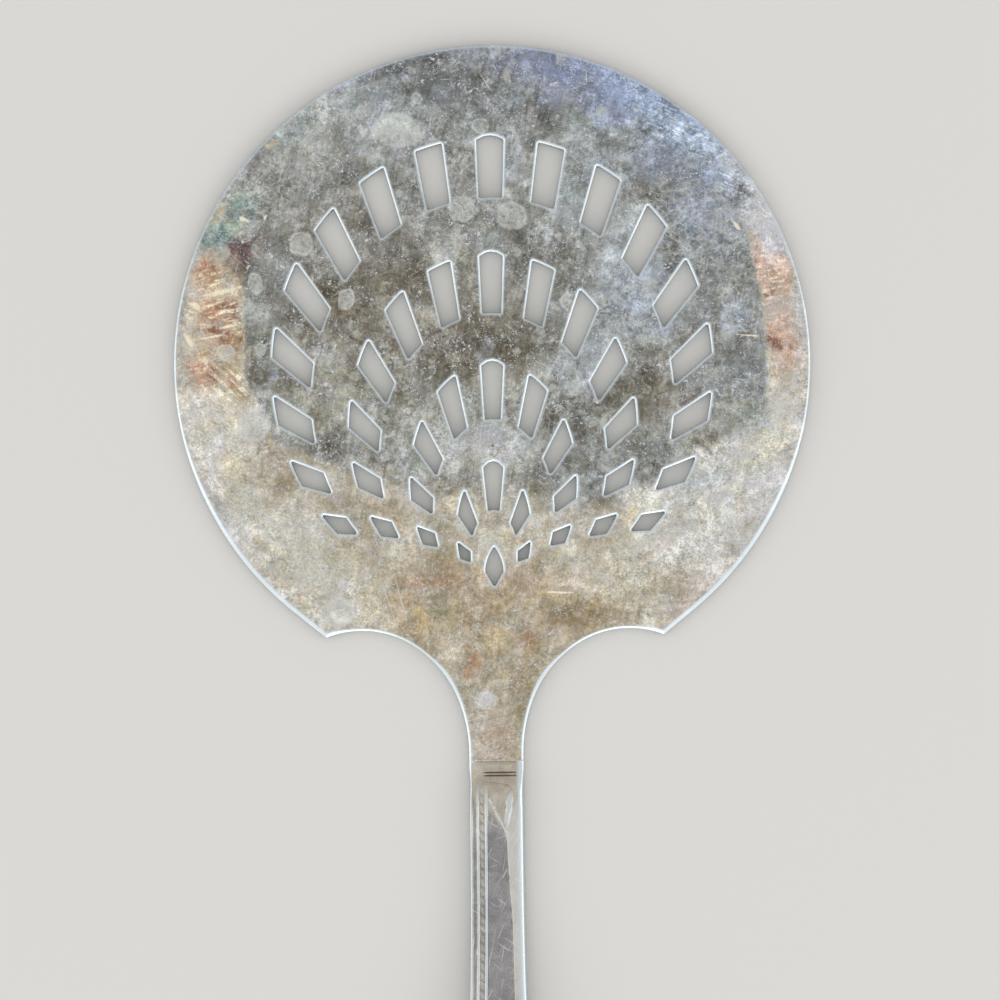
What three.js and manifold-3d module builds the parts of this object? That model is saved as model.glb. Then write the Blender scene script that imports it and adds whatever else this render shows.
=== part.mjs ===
// A flat tomato server: a round pierced blade, soldered under its collar to a struck handle.
// Millimetres, +Z up. The serving face looks up, the blade lies towards +Y and the handle towards -Y.

import * as THREE from 'three';
import { mergeVertices } from 'three/addons/utils/BufferGeometryUtils.js';
import Module from 'manifold-3d';

const wasm = await Module();
wasm.setup();

// Overall
const TOTAL_LENGTH = 200;

// Blade
const BLADE_DIAMETER = 80;
const BLADE_THICKNESS = 1.4;
const RIM_EASE = 0.45; // rounding along the edges of the blade, neck and handle
const PIERCING_EASE = 0.3; // broken edge round each piercing, on both faces

// Shoulders: each hollow is part of an oval between a pointed tip and the straight neck
const SHOULDER_SPAN = 42.4; // from tip to tip
const SHOULDER_REACH = 0.35; // how far a tip stands outside the blade's circle
const HOLLOW_INSET = 4.5; // from a tip in to the crest of its hollow
const HOLLOW_DROP = 15.4; // from the crest down to the straight neck

// Neck and soldered lap
const NECK_WIDTH = 6.9;
const NECK_RUN = 1.2; // straight neck between the hollows and the collar
const LAP_LENGTH = 8;
const TONGUE_THICKNESS = 0.7;
const SOLDER_THICKNESS = 0.15;

// Piercings: rows of slots between pairs of nested ovals, which all touch at one foot point
const FOOT_BELOW_CENTRE = 29.7;
const SLOT_SHARE = 0.43; // part of its pitch that a slot takes up
const ARCH_RISE = 0.5; // crown of the end of a slot on the axis
const CORNER_EASE = 0.2; // length cut off each corner of a piercing
const CORNER_ANGLE = 150; // degrees, below which two sides of a piercing meet in a corner

// A row's top is its outer oval's height over the blade's centre. Its slots get shorter from the axis to the sides,
// and their sides are rays from a focus above the foot point. Angles are in degrees from the axis.
const ROWS = [
  {
    top: 28.4, halfWidth: 27.6, axisLength: 7.5, sideLength: 4.7,
    focusAboveFoot: 7.8, pairs: 8, firstStep: 8.9, lastAngle: 84.7,
  },
  {
    top: 13.8, halfWidth: 18.0, axisLength: 7.4, sideLength: 3.6,
    focusAboveFoot: 6.3, pairs: 6, firstStep: 10.3, lastAngle: 78.2,
  },
  {
    top: 0.1, halfWidth: 10.4, axisLength: 7.0, sideLength: 2.7,
    focusAboveFoot: 5.5, pairs: 4, firstStep: 14.6, lastAngle: 73.9,
  },
  {
    top: -12.5, halfWidth: 4.6, axisLength: 5.8, sideLength: 1.6,
    focusAboveFoot: 3.8, pairs: 2, firstStep: 24.5, lastAngle: 61.2,
  },
];

// Leaf that closes the pattern, standing on its lower point
const LEAF_ABOVE_FOOT = 1.7;
const LEAF_LENGTH = 5;
const LEAF_WIDTH = 2.2;
const LEAF_WAIST = 1.9; // from the lower point up to the widest place

// Handle
const HANDLE_WIDTH = 17.5; // at its widest, near the tail
const HANDLE_ROOT_THICKNESS = 2.2;
const HANDLE_TAIL_THICKNESS = 1.8;
const COLLAR_RAMP = 1; // slope from the neck's face up to the collar's
const FLARE_DELAY = 1.6; // above 1 the handle stays slim for longer before it widens
const FLARE_START = 6; // from the collar
const TAIL_LENGTH = 14.7; // rounded end
const TAIL_RISE = 11.5; // underside of the tail over the table
const TAIL_SLOPE = 8; // degrees, down towards the end
const TAIL_BLUNT = 0.5; // part of the last section that is left at the very end
const RISE_AFTER_LAP = 1.3; // the handle leaves the table this far past the lap
const BORDER_WIDTH = 2.3; // raised border round the sunk panel
const PANEL_RECESS = 0.3;
const PANEL_LIP = 0.3; // width of the slope round the panel
const PANEL_START = 4.5; // from the collar to the panel's point
const PANEL_POINT = 5; // length of the panel's pointed start

// Fineness of the facets
const RIM_STEPS = 112;
const HOLLOW_STEPS = 16;
const EASE_STEPS = 2;
const SLOT_END_STEPS = 3;
const LEAF_STEPS = 4;
const HANDLE_STEPS = 30;
const TAIL_STEPS = 9;
const OVERCUT = 1; // how far a cutter runs past what it cuts

// Places that follow from the sizes, in a frame with its origin under the blade's centre
const bladeRadius = BLADE_DIAMETER / 2;
const neckHalf = NECK_WIDTH / 2;
const tipRadius = bladeRadius + SHOULDER_REACH;
const tip = new THREE.Vector2(SHOULDER_SPAN / 2, -Math.sqrt(tipRadius ** 2 - (SHOULDER_SPAN / 2) ** 2));
const hollowHalfWidth = tip.x - HOLLOW_INSET - neckHalf;
const hollowCentre = new THREE.Vector2(
  tip.x - HOLLOW_INSET,
  tip.y - HOLLOW_DROP * Math.sqrt(1 - (HOLLOW_INSET / hollowHalfWidth) ** 2),
);
const collarY = hollowCentre.y - NECK_RUN;
const tongueEndY = collarY - LAP_LENGTH;
const lapTop = TONGUE_THICKNESS + SOLDER_THICKNESS;
const footY = -FOOT_BELOW_CENTRE;
const handleLength = TOTAL_LENGTH - bladeRadius + collarY;
const tailStart = handleLength - TAIL_LENGTH;
const riseStart = LAP_LENGTH + SOLDER_THICKNESS + RISE_AFTER_LAP;
const widestHalf = HANDLE_WIDTH / 2;

function ovalArc(centre, halfWidth, halfHeight, fromAngle, toAngle, steps) {
  const points = [];
  for (let i = 0; i <= steps; i++) {
    const angle = THREE.MathUtils.lerp(fromAngle, toAngle, i / steps);
    points.push(new THREE.Vector2(
      centre.x + halfWidth * Math.cos(angle),
      centre.y + halfHeight * Math.sin(angle),
    ));
  }
  return points;
}

function mirrored(points) {
  return points.map((point) => new THREE.Vector2(-point.x, point.y)).reverse();
}

// Booleans work on meshes whose shared vertices are merged
function solidFrom(geometry) {
  const bare = new THREE.BufferGeometry();
  bare.setAttribute('position', geometry.getAttribute('position').clone());
  if (geometry.index) {
    bare.setIndex(geometry.index.clone());
  }
  const merged = mergeVertices(bare);
  return new wasm.Manifold(new wasm.Mesh({
    numProp: 3,
    vertProperties: new Float32Array(merged.getAttribute('position').array),
    triVerts: new Uint32Array(merged.index.array),
  }));
}

function geometryFrom(solid) {
  const mesh = solid.getMesh();
  const geometry = new THREE.BufferGeometry();
  geometry.setAttribute('position', new THREE.BufferAttribute(new Float32Array(mesh.vertProperties), 3));
  geometry.setIndex(new THREE.BufferAttribute(new Uint32Array(mesh.triVerts), 1));
  geometry.computeVertexNormals();
  return geometry;
}

function boxBetween(low, high) {
  const size = new THREE.Vector3().subVectors(high, low);
  const middle = new THREE.Vector3().addVectors(low, high).multiplyScalar(0.5);
  return new THREE.BoxGeometry(size.x, size.y, size.z).translate(middle.x, middle.y, middle.z);
}

// Skin over a stack of closed rings with equal counts, turning left as seen from the end of the stack.
// The first and last rings are convex.
function loft(rings) {
  const count = rings[0].length;
  const positions = rings.flat().flatMap((point) => [point.x, point.y, point.z]);
  const indices = [];
  for (let ring = 0; ring + 1 < rings.length; ring++) {
    for (let i = 0; i < count; i++) {
      const a = ring * count + i;
      const b = ring * count + (i + 1) % count;
      indices.push(a, b, b + count, a, b + count, a + count);
    }
  }
  const last = (rings.length - 1) * count;
  for (let i = 1; i + 1 < count; i++) {
    indices.push(0, i + 1, i);
    indices.push(last, last + i, last + i + 1);
  }
  const geometry = new THREE.BufferGeometry();
  geometry.setAttribute('position', new THREE.Float32BufferAttribute(positions, 3));
  geometry.setIndex(indices);
  return geometry;
}

// Outline of the blade, shoulders and tongue. The rim runs straight from its circle to each tip.
function bladeOutline() {
  const tipAngle = Math.atan2(tip.y, tip.x);
  const leaveAngle = tipAngle + Math.acos(bladeRadius / tipRadius);
  const rim = ovalArc(new THREE.Vector2(), bladeRadius, bladeRadius, leaveAngle, Math.PI - leaveAngle, RIM_STEPS);
  const tipParameter = Math.acos(HOLLOW_INSET / hollowHalfWidth);
  const hollow = ovalArc(hollowCentre, hollowHalfWidth, HOLLOW_DROP, Math.PI, tipParameter, HOLLOW_STEPS);
  const tongueCorner = new THREE.Vector2(neckHalf, tongueEndY);
  const right = [tongueCorner, ...hollow];
  return new THREE.Shape([...right, ...rim, ...mirrored(right)]);
}

// Plate over an outline, with its upper and lower edges rounded
function easedPlate(shape, thickness, ease) {
  return new THREE.ExtrudeGeometry(shape, {
    depth: thickness - 2 * ease,
    bevelEnabled: true,
    bevelThickness: ease,
    bevelSize: ease,
    bevelOffset: -ease,
    bevelSegments: EASE_STEPS,
  }).translate(0, 0, ease);
}

// Where a ray from a focus on the axis meets an oval that stands on the foot point
function rayOnOval(focusY, angle, top, halfWidth) {
  const centreY = (top + footY) / 2;
  const halfHeight = (top - footY) / 2;
  const across = Math.sin(angle) / halfWidth;
  const along = Math.cos(angle) / halfHeight;
  const offset = (focusY - centreY) / halfHeight;
  const square = across ** 2 + along ** 2;
  const linear = offset * along;
  const reach = (-linear + Math.sqrt(linear ** 2 - square * (offset ** 2 - 1))) / square;
  return new THREE.Vector2(reach * Math.sin(angle), focusY + reach * Math.cos(angle));
}

// One end of a slot, from left to right. The pitch grows with the cube of the place along the row.
function slotEnd(row, index, top, halfWidth, steps) {
  const growth = (row.lastAngle - row.firstStep * row.pairs) / row.pairs ** 3;
  const points = [];
  for (let i = 0; i <= steps; i++) {
    const place = index + SLOT_SHARE * (i / steps - 0.5);
    const angle = THREE.MathUtils.degToRad(row.firstStep * place + growth * place ** 3);
    points.push(rayOnOval(footY + row.focusAboveFoot, angle, top, halfWidth));
  }
  return points;
}

function slotOutline(row, index) {
  const outer = slotEnd(row, index, row.top, row.halfWidth, SLOT_END_STEPS);
  const inner = slotEnd(row, index, row.top - row.axisLength, row.halfWidth - row.sideLength, 1);
  if (index === 0) {
    const halfSlot = outer.at(-1).x;
    outer.forEach((point) => {
      point.y += ARCH_RISE * (0.5 - (point.x / halfSlot) ** 2);
    });
  }
  return [...inner, ...outer.reverse()];
}

function leafOutline() {
  const lowest = new THREE.Vector2(0, footY + LEAF_ABOVE_FOOT);
  const highest = new THREE.Vector2(0, lowest.y + LEAF_LENGTH);
  const waist = new THREE.Vector2(LEAF_WIDTH / 2, lowest.y + LEAF_WAIST);
  const bulge = new THREE.Vector2(waist.x, (waist.y + highest.y) / 2);
  const right = new THREE.QuadraticBezierCurve(waist, bulge, highest).getPoints(LEAF_STEPS);
  return [lowest, ...right, ...mirrored(right).slice(1)];
}

// Cuts a short length off each clear corner of a closed outline, and never more than a third of a side
function withEasedCorners(points, length) {
  const eased = [];
  points.forEach((point, i) => {
    const before = points[(i + points.length - 1) % points.length];
    const after = points[(i + 1) % points.length];
    const back = new THREE.Vector2().subVectors(before, point);
    const ahead = new THREE.Vector2().subVectors(after, point);
    const isCorner = back.angleTo(ahead) < THREE.MathUtils.degToRad(CORNER_ANGLE);
    if (!isCorner) {
      eased.push(point);
      return;
    }
    const cut = Math.min(length, back.length() / 3, ahead.length() / 3);
    eased.push(point.clone().addScaledVector(back.normalize(), cut));
    eased.push(point.clone().addScaledVector(ahead.normalize(), cut));
  });
  return eased;
}

// Moves each side of an outline that turns left out by a distance
function offsetOutline(points, distance) {
  return points.map((point, i) => {
    const before = points[(i + points.length - 1) % points.length];
    const after = points[(i + 1) % points.length];
    const into = new THREE.Vector2().subVectors(point, before).normalize();
    const outOf = new THREE.Vector2().subVectors(after, point).normalize();
    const normals = new THREE.Vector2(into.y + outOf.y, -into.x - outOf.x);
    return point.clone().addScaledVector(normals, distance / (1 + into.dot(outOf)));
  });
}

// Straight through the plate, opening out at both faces
function piercingCutter(outline) {
  const points = withEasedCorners(outline, CORNER_EASE);
  const flare = PIERCING_EASE + OVERCUT;
  const levels = [
    { z: -OVERCUT, out: flare },
    { z: PIERCING_EASE, out: 0 },
    { z: BLADE_THICKNESS - PIERCING_EASE, out: 0 },
    { z: BLADE_THICKNESS + OVERCUT, out: flare },
  ];
  return loft(levels.map((level) => offsetOutline(points, level.out)
    .map((point) => new THREE.Vector3(point.x, point.y, level.z))));
}

function piercedBladeGeometry() {
  let solid = solidFrom(easedPlate(bladeOutline(), BLADE_THICKNESS, RIM_EASE));
  for (const row of ROWS) {
    for (let index = -row.pairs; index <= row.pairs; index++) {
      solid = solid.subtract(solidFrom(piercingCutter(slotOutline(row, index))));
    }
  }
  solid = solid.subtract(solidFrom(piercingCutter(leafOutline())));
  const lapCut = boxBetween(
    new THREE.Vector3(-NECK_WIDTH, tongueEndY - OVERCUT, TONGUE_THICKNESS),
    new THREE.Vector3(NECK_WIDTH, collarY + SOLDER_THICKNESS, BLADE_THICKNESS + OVERCUT),
  );
  return geometryFrom(solid.subtract(solidFrom(lapCut)));
}

// Z-shaped in side view: up the end of the neck's face, along the lap and down the end of the tongue
function solderGeometry() {
  const profile = new THREE.Shape([
    new THREE.Vector2(tongueEndY - SOLDER_THICKNESS, 0),
    new THREE.Vector2(tongueEndY, 0),
    new THREE.Vector2(tongueEndY, TONGUE_THICKNESS),
    new THREE.Vector2(collarY + SOLDER_THICKNESS, TONGUE_THICKNESS),
    new THREE.Vector2(collarY + SOLDER_THICKNESS, BLADE_THICKNESS),
    new THREE.Vector2(collarY, BLADE_THICKNESS),
    new THREE.Vector2(collarY, lapTop),
    new THREE.Vector2(tongueEndY - SOLDER_THICKNESS, lapTop),
  ]);
  const width = NECK_WIDTH - 2 * RIM_EASE;
  const intoYZ = new THREE.Matrix4().makeBasis(
    new THREE.Vector3(0, 1, 0),
    new THREE.Vector3(0, 0, 1),
    new THREE.Vector3(1, 0, 0),
  );
  return new THREE.ExtrudeGeometry(profile, { depth: width, bevelEnabled: false })
    .translate(0, 0, -width / 2)
    .applyMatrix4(intoYZ);
}

function handleHalfWidth(station) {
  if (station > tailStart) {
    return widestHalf * Math.sqrt(Math.max(0, 1 - ((station - tailStart) / TAIL_LENGTH) ** 2));
  }
  const travel = Math.max(0, (station - FLARE_START) / (tailStart - FLARE_START));
  return THREE.MathUtils.lerp(neckHalf, widestHalf, THREE.MathUtils.smoothstep(travel ** FLARE_DELAY, 0, 1));
}

// The panel keeps one border's width inside the outline. It starts in a point and ends round.
function panelHalfWidth(station) {
  if (station > tailStart) {
    const intoTail = (station - tailStart) / (TAIL_LENGTH - BORDER_WIDTH);
    return (widestHalf - BORDER_WIDTH) * Math.sqrt(Math.max(0, 1 - intoTail ** 2));
  }
  const opened = THREE.MathUtils.clamp((station - PANEL_START) / PANEL_POINT, 0, 1);
  return (handleHalfWidth(station) - BORDER_WIDTH) * opened;
}

// Underside of the handle: flat on the table at first, then an easy arch that dips at the tail
function handleUnderside(station) {
  const run = handleLength - riseStart;
  const travel = Math.max(0, (station - riseStart) / run);
  const dip = -Math.tan(THREE.MathUtils.degToRad(TAIL_SLOPE)) * run;
  return TAIL_RISE * (3 * travel ** 2 - 2 * travel ** 3) + dip * (travel ** 3 - travel ** 2);
}

function handleThickness(station) {
  const full = THREE.MathUtils.lerp(HANDLE_ROOT_THICKNESS, HANDLE_TAIL_THICKNESS, station / handleLength);
  return THREE.MathUtils.lerp(BLADE_THICKNESS, full, Math.min(1, station / COLLAR_RAMP));
}

// Closed section: rounded edges, a flat underside and a raised border round the sunk panel.
// Where there is no panel, its points are spread over the flat upper side in thirds.
function handleSection(station, halfWidth, squeeze) {
  const thickness = handleThickness(station) * squeeze;
  const low = handleUnderside(station) + handleThickness(station) * (1 - squeeze) / 2;
  const high = low + thickness;
  const ease = RIM_EASE * squeeze;
  const turn = ease * (1 - Math.SQRT1_2);
  const panel = panelHalfWidth(station);
  const flatHalf = halfWidth - ease;
  const lipIn = panel > 0 ? panel : flatHalf / 3;
  const lipOut = panel > 0 ? panel + PANEL_LIP : flatHalf * 2 / 3;
  const sunk = high - Math.min(PANEL_RECESS, Math.max(0, panel));
  const right = [
    [flatHalf, low],
    [halfWidth - turn, low + turn],
    [halfWidth, low + ease],
    [halfWidth, high - ease],
    [halfWidth - turn, high - turn],
    [flatHalf, high],
    [lipOut, high],
    [lipIn, sunk],
  ];
  const left = right.map(([x, z]) => [-x, z]).reverse();
  return [...right, ...left].map(([x, z]) => new THREE.Vector3(x, collarY - station, z));
}

function handleGeometry() {
  const stations = [0, COLLAR_RAMP, PANEL_START];
  for (let i = 1; i <= HANDLE_STEPS; i++) {
    stations.push(THREE.MathUtils.lerp(PANEL_START, tailStart, i / HANDLE_STEPS));
  }
  const bluntAngle = Math.PI / 2 * (TAIL_STEPS - 1) / TAIL_STEPS;
  for (let i = 1; i < TAIL_STEPS; i++) {
    stations.push(tailStart + TAIL_LENGTH * Math.sin(bluntAngle * i / (TAIL_STEPS - 1)));
  }
  const rings = stations.map((station) => handleSection(station, handleHalfWidth(station), 1));
  const bluntHalfWidth = handleHalfWidth(stations.at(-1)) * TAIL_BLUNT;
  rings.push(handleSection(handleLength, bluntHalfWidth, TAIL_BLUNT));
  const lapCut = boxBetween(
    new THREE.Vector3(-NECK_WIDTH, tongueEndY - SOLDER_THICKNESS, -OVERCUT),
    new THREE.Vector3(NECK_WIDTH, collarY + OVERCUT, lapTop),
  );
  return geometryFrom(solidFrom(loft(rings)).subtract(solidFrom(lapCut)));
}

function namedMesh(name, geometry, colour, roughness) {
  const material = new THREE.MeshStandardMaterial({ color: colour, metalness: 1, roughness, flatShading: true });
  const mesh = new THREE.Mesh(geometry, material);
  mesh.name = name;
  return mesh;
}

const server = new THREE.Group();
server.add(namedMesh('pierced_blade', piercedBladeGeometry(), 0x9c998c, 0.45));
server.add(namedMesh('handle', handleGeometry(), 0xa3a19d, 0.4));
server.add(namedMesh('solder_seam', solderGeometry(), 0x8a8882, 0.5));

// The origin lies under the middle of the whole server
server.position.y = TOTAL_LENGTH / 2 - bladeRadius;

const assembly = new THREE.Group();
assembly.add(server);

export default assembly;
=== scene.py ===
"""A worn, silver-plated tomato server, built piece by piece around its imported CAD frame."""

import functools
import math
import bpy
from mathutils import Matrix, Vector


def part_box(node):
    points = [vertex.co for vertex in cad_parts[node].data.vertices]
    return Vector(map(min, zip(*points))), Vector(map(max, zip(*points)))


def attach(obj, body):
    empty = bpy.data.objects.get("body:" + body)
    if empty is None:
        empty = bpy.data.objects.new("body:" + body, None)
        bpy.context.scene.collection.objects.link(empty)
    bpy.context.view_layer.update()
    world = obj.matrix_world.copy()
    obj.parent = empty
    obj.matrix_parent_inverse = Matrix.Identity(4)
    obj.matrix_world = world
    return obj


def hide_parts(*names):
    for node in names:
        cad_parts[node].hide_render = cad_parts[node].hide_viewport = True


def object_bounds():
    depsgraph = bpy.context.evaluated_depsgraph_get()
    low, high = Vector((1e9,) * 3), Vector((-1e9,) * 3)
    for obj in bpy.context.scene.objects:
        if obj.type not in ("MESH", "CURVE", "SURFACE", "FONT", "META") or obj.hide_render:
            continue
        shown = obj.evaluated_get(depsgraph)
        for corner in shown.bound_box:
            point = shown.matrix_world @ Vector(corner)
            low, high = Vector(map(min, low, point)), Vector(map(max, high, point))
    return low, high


bl_info = {
    "name": "Tomato Server",
    "version": (1, 0, 0),
    "blender": (4, 5, 0),
    "location": "3D View > Sidebar > Server",
    "description": "Builds a flat tomato server with a pierced round blade and a struck handle",
    "category": "Add Mesh",
}

from collections import namedtuple
from types import SimpleNamespace

import bmesh
import bpy
import numpy as np
from mathutils import Vector, noise
from mathutils.geometry import delaunay_2d_cdt

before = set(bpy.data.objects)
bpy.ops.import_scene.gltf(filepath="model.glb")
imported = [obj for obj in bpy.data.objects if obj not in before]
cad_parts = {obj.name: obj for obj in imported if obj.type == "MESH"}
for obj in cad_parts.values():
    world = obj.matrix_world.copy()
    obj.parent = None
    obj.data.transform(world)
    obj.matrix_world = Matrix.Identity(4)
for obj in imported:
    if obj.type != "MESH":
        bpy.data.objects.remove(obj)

MM = 0.001
CAD_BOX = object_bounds()
BLADE_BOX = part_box("pierced_blade")
BODY = "root"

# Rows of piercings, in millimetres and degrees. Each row lies between two ovals that stand on one foot point.
Row = namedtuple("Row", "top half_width axis_length side_length focus_above_foot pairs first_step last_angle")
PIERCING_ROWS = (
    Row(28.4, 27.6, 7.5, 4.7, 7.8, 8, 8.9, 84.7),
    Row(13.8, 18.0, 7.4, 3.6, 6.3, 6, 10.3, 78.2),
    Row(0.1, 10.4, 7.0, 2.7, 5.5, 4, 14.6, 73.9),
    Row(-12.5, 4.6, 5.8, 1.6, 3.8, 2, 24.5, 61.2),
)

# Fineness of the meshes
RIM_STEPS = 320
HOLLOW_STEPS = 90
NECK_STEPS = 24
TONGUE_END_STEPS = 2
EASE_STEPS = 4
# Worn edge of the plate: inset and drop as shares of the ease, and wear, which also carries the edges'
# painted highlight
EDGE_PROFILE = (
    (0.0, 0.72, 1.0), (0.05, 0.54, 1.0), (0.16, 0.42, 1.0), (0.5, 0.22, 1.0), (0.84, 0.05, 1.0),
    (1.0, 0.0, 0.3),
)
# The ease is fine on the neck, wide along the shoulders and the lower rim, and fine round the top. It changes
# between these heights and distances from the blade's centre
WIDE_EASE_GROWS = (-46.0, -37.0)
WIDE_EASE_SHRINKS = (-20.0, -6.0)
WIDE_EASE_REACH = (37.4, 40.0)
# Painted highlight: worn edges are painted brightest where they face the lamps on the handle's side: the
# least shine, what is added, and between which heights, from -1 at the end of the edge that faces away to 1
# at the other
LEAST_SHINE = 0.7
ADDED_SHINE = 0.3
SHINE_TURN = (-0.7, 0.7)
# Corners: arcs go into those sharper than the limit, take a part of a side at most, and keep a least radius
CORNER_LIMIT = math.radians(150)
FILLET_STEPS = 4
FILLET_SIDE_PARTS = 3
SHARPEST = 0.03
OUTER_END_STEPS = 4
INNER_END_STEPS = 2
LEAF_STEPS = 10
# Part of a slot's crown that stands over its row's oval
CROWN_OVER_OVAL = 0.5
# Flat strip between an eased edge and the face's own points
GUARD = 0.2
GRID_STEP = 0.32
COLLAR_ROW_STEP = 0.09
HANDLE_ROW_STEP = 0.17
TAIL_ROWS = 76
PANEL_COLUMNS = 9
SHARP_ANGLE = math.radians(50)
# Points nearer than these are one, and paths that miss each other by this part of a step still meet
MERGE_GAP = 1e-5
WELD_GAP = 0.002
MEETING_SPARE = 1e-6
# Faces whose normals point lower than this get the underside's finish
DOWNWARD = -0.9
# How far the seam's strip and the cuts of the lap reach past the piece
SEAM_SPARE = 2
OVERCUT = 1


def length(name, description, millimetres):
    """A size, kept in metres and shown in the scene's units."""
    return bpy.props.FloatProperty(
        name=name, description=description, default=millimetres * MM, unit="LENGTH", precision=5
    )


def share(name, description, value):
    """A plain number between nothing and all."""
    return bpy.props.FloatProperty(
        name=name, description=description, default=value, min=0.0, max=1.0, subtype="FACTOR"
    )


def level(name, description, value):
    """The brightness of a light, where 1 shows a colour as it is written."""
    return bpy.props.FloatProperty(name=name, description=description, default=value, min=0.0)


def linear(value):
    """A display value of 0 to 255 as a share of light."""
    value /= 255
    return value / 12.92 if value <= 0.04045 else ((value + 0.055) / 1.055) ** 2.4


def tone(name, description, red, green, blue):
    """A colour, given in display values of 0 to 255."""
    return bpy.props.FloatVectorProperty(
        name=name, description=description, subtype="COLOR", size=4, min=0.0, max=1.0,
        default=(linear(red), linear(green), linear(blue), 1.0),
    )


class BladeSizes(bpy.types.PropertyGroup):
    diameter: length("Diameter", "Across the blade's circle", 80)
    thickness: length("Thickness", "Of the plate", BLADE_BOX[1].z / MM)
    rim_ease: length("Rim Ease", "Worn edge along the lower rim", 0.68)
    fine_ease: length("Fine Ease", "Worn edge along the upper rim and the neck", 0.36)
    piercing_ease: length("Piercing Ease", "Worn edge of the piercings", 0.33)
    shoulder_span: length("Shoulder Span", "From tip to tip", 42.4)
    shoulder_reach: length("Shoulder Reach", "How far a tip stands outside the circle", 0.35)
    tip_round: length("Tip Round", "Radius of a shoulder's tip", 0.25)
    hollow_inset: length("Hollow Inset", "From a tip in to the crest of its hollow", 4.5)
    hollow_drop: length("Hollow Drop", "From the crest down to the straight neck", 15.4)
    neck_width: length("Neck Width", "Across the straight neck", 6.9)
    neck_run: length("Neck Run", "Straight neck above the collar", 1.2)
    lap_length: length("Lap Length", "Of the tongue under the handle's root", 8)
    tongue_thickness: length("Tongue Thickness", "Of the lapped tongue", 0.7)
    solder_thickness: length("Solder Thickness", "Of the layer in the lap", 0.15)
    foot_below_centre: length("Foot Below Centre", "Where the ovals of the pattern touch", 29.7)
    slot_share: share("Slot Share", "Part of its pitch that a slot takes up", 0.43)
    arch_rise: length("Arch Rise", "Crown of the end of a slot on the axis", 0.5)
    slot_round: length("Slot Round", "Radius in the corners of the piercings", 0.16)
    leaf_above_foot: length("Leaf Above Foot", "Lower point of the leaf piercing", 1.7)
    leaf_length: length("Leaf Length", "From point to point", 5)
    leaf_width: length("Leaf Width", "At its widest", 2.2)
    leaf_waist: length("Leaf Waist", "From the lower point to the widest place", 1.9)


class HandleSizes(bpy.types.PropertyGroup):
    width: length("Width", "At its widest, near the tail", 17.5)
    root_thickness: length("Root Thickness", "Behind the collar", 2.2)
    tail_thickness: length("Tail Thickness", "At the end", 1.8)
    edge_ease: length("Edge Ease", "Rounding along the edges", 0.68)
    worn_ease: length("Worn Ease", "Rounding along the worn side's upper edge", 1.1)
    collar_ramp: length("Collar Ramp", "Slope from the neck's face to the collar's", 3.4)
    flare_delay: bpy.props.FloatProperty(
        name="Flare Delay", description="Above 1 the handle stays slim for longer", default=1.6, min=1.0
    )
    flare_start: length("Flare Start", "From the collar", 6)
    tail_length: length("Tail Length", "Of the rounded end", 14.7)
    tail_rise: length("Tail Rise", "Underside of the tail over the table", 11.5)
    tail_slope: bpy.props.FloatProperty(
        name="Tail Slope", description="Down towards the end", default=math.radians(8), unit="ROTATION"
    )
    rise_after_lap: length("Rise After Lap", "Flat run past the lap", 1.3)
    border_width: length("Border Width", "Of the raised border", 2.42)
    panel_recess: length("Panel Recess", "Depth of the sunk panel", 0.26)
    leaf_pitch: length("Leaf Pitch", "Between the leaves of the border", 1.15)
    leaf_height: length("Leaf Height", "Of the leaves of the border", 0.13)


class PlateTones(bpy.types.PropertyGroup):
    film_dark: tone("Dark Film", "Deep parts of the grey tarnish", 66, 65, 59)
    film_light: tone("Light Film", "Thin parts of the grey tarnish", 196, 200, 199)
    cream_dark: tone("Dark Cream", "Deep parts of the warm toning", 147, 136, 115)
    cream_light: tone("Light Cream", "Thin parts of the warm toning", 218, 214, 202)
    clean: tone("Clean Silver", "Bare, worn plate", 214, 215, 212)
    # Rim: the colour of the bright worn edges, tinted cool as a painted reflection of the sky
    rim: tone("Rim", "Polished edges", 200, 210, 215)
    smoke: tone("Smoke", "Darkest tarnish", 78, 73, 63)
    tan: tone("Tan", "Brown film", 132, 111, 82)
    streaks: tone("Streaks", "Fine wiped streaks", 216, 220, 226)
    moss: tone("Moss", "Green-grey tarnish", 124, 128, 114)
    pale: tone("Pale", "Thin, light film", 186, 189, 183)
    flakes: tone("Flakes", "Edges of broken toning", 240, 228, 204)
    water: tone("Water Spot", "Dried drops", 194, 197, 190)
    sky: tone("Sky", "Pale blue toning", 174, 186, 203)
    lilac: tone("Lilac", "Violet-blue toning", 145, 150, 172)
    teal: tone("Teal", "Blue-green toning", 92, 120, 120)
    plum: tone("Plum", "Brown-violet toning", 104, 80, 84)
    gold: tone("Gold", "Yellow toning", 198, 182, 144)
    copper: tone("Copper", "Orange-brown toning", 176, 128, 98)
    blush: tone("Blush", "Pale pink toning", 208, 180, 166)
    rust: tone("Rust", "Dark copper toning", 138, 94, 70)
    jade: tone("Jade", "Pale green toning", 170, 186, 170)
    slate: tone("Slate", "Even, cool grey tarnish", 126, 129, 130)
    # Pearl: pale patches, painted sheen where they lie along the rims, and pale film on the dried drops
    pearl_and_sheen: tone("Pearl", "Pale, even sheen", 214, 212, 212)
    shavings: tone("Shavings", "Slanting edges of broken toning", 240, 228, 202)
    collar_dark: tone("Dark Collar", "Deep parts of the collar's toning", 150, 140, 124)
    collar_light: tone("Light Collar", "Thin parts of the collar's toning", 206, 200, 188)
    handle_dark: tone("Dark Handle", "Deep parts of the handle's tarnish", 124, 120, 116)
    handle_light: tone("Light Handle", "Thin parts of the handle's tarnish", 192, 189, 184)
    # The sunk panel's tones: its tarnish, darkened as painted shade for the handle's slope away from the
    # front light
    shaded_panel_dark: tone("Dark Panel", "Deep parts of the sunk panel's tarnish", 104, 102, 103)
    shaded_panel_light: tone("Light Panel", "Thin parts of the sunk panel's tarnish", 166, 164, 165)


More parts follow.
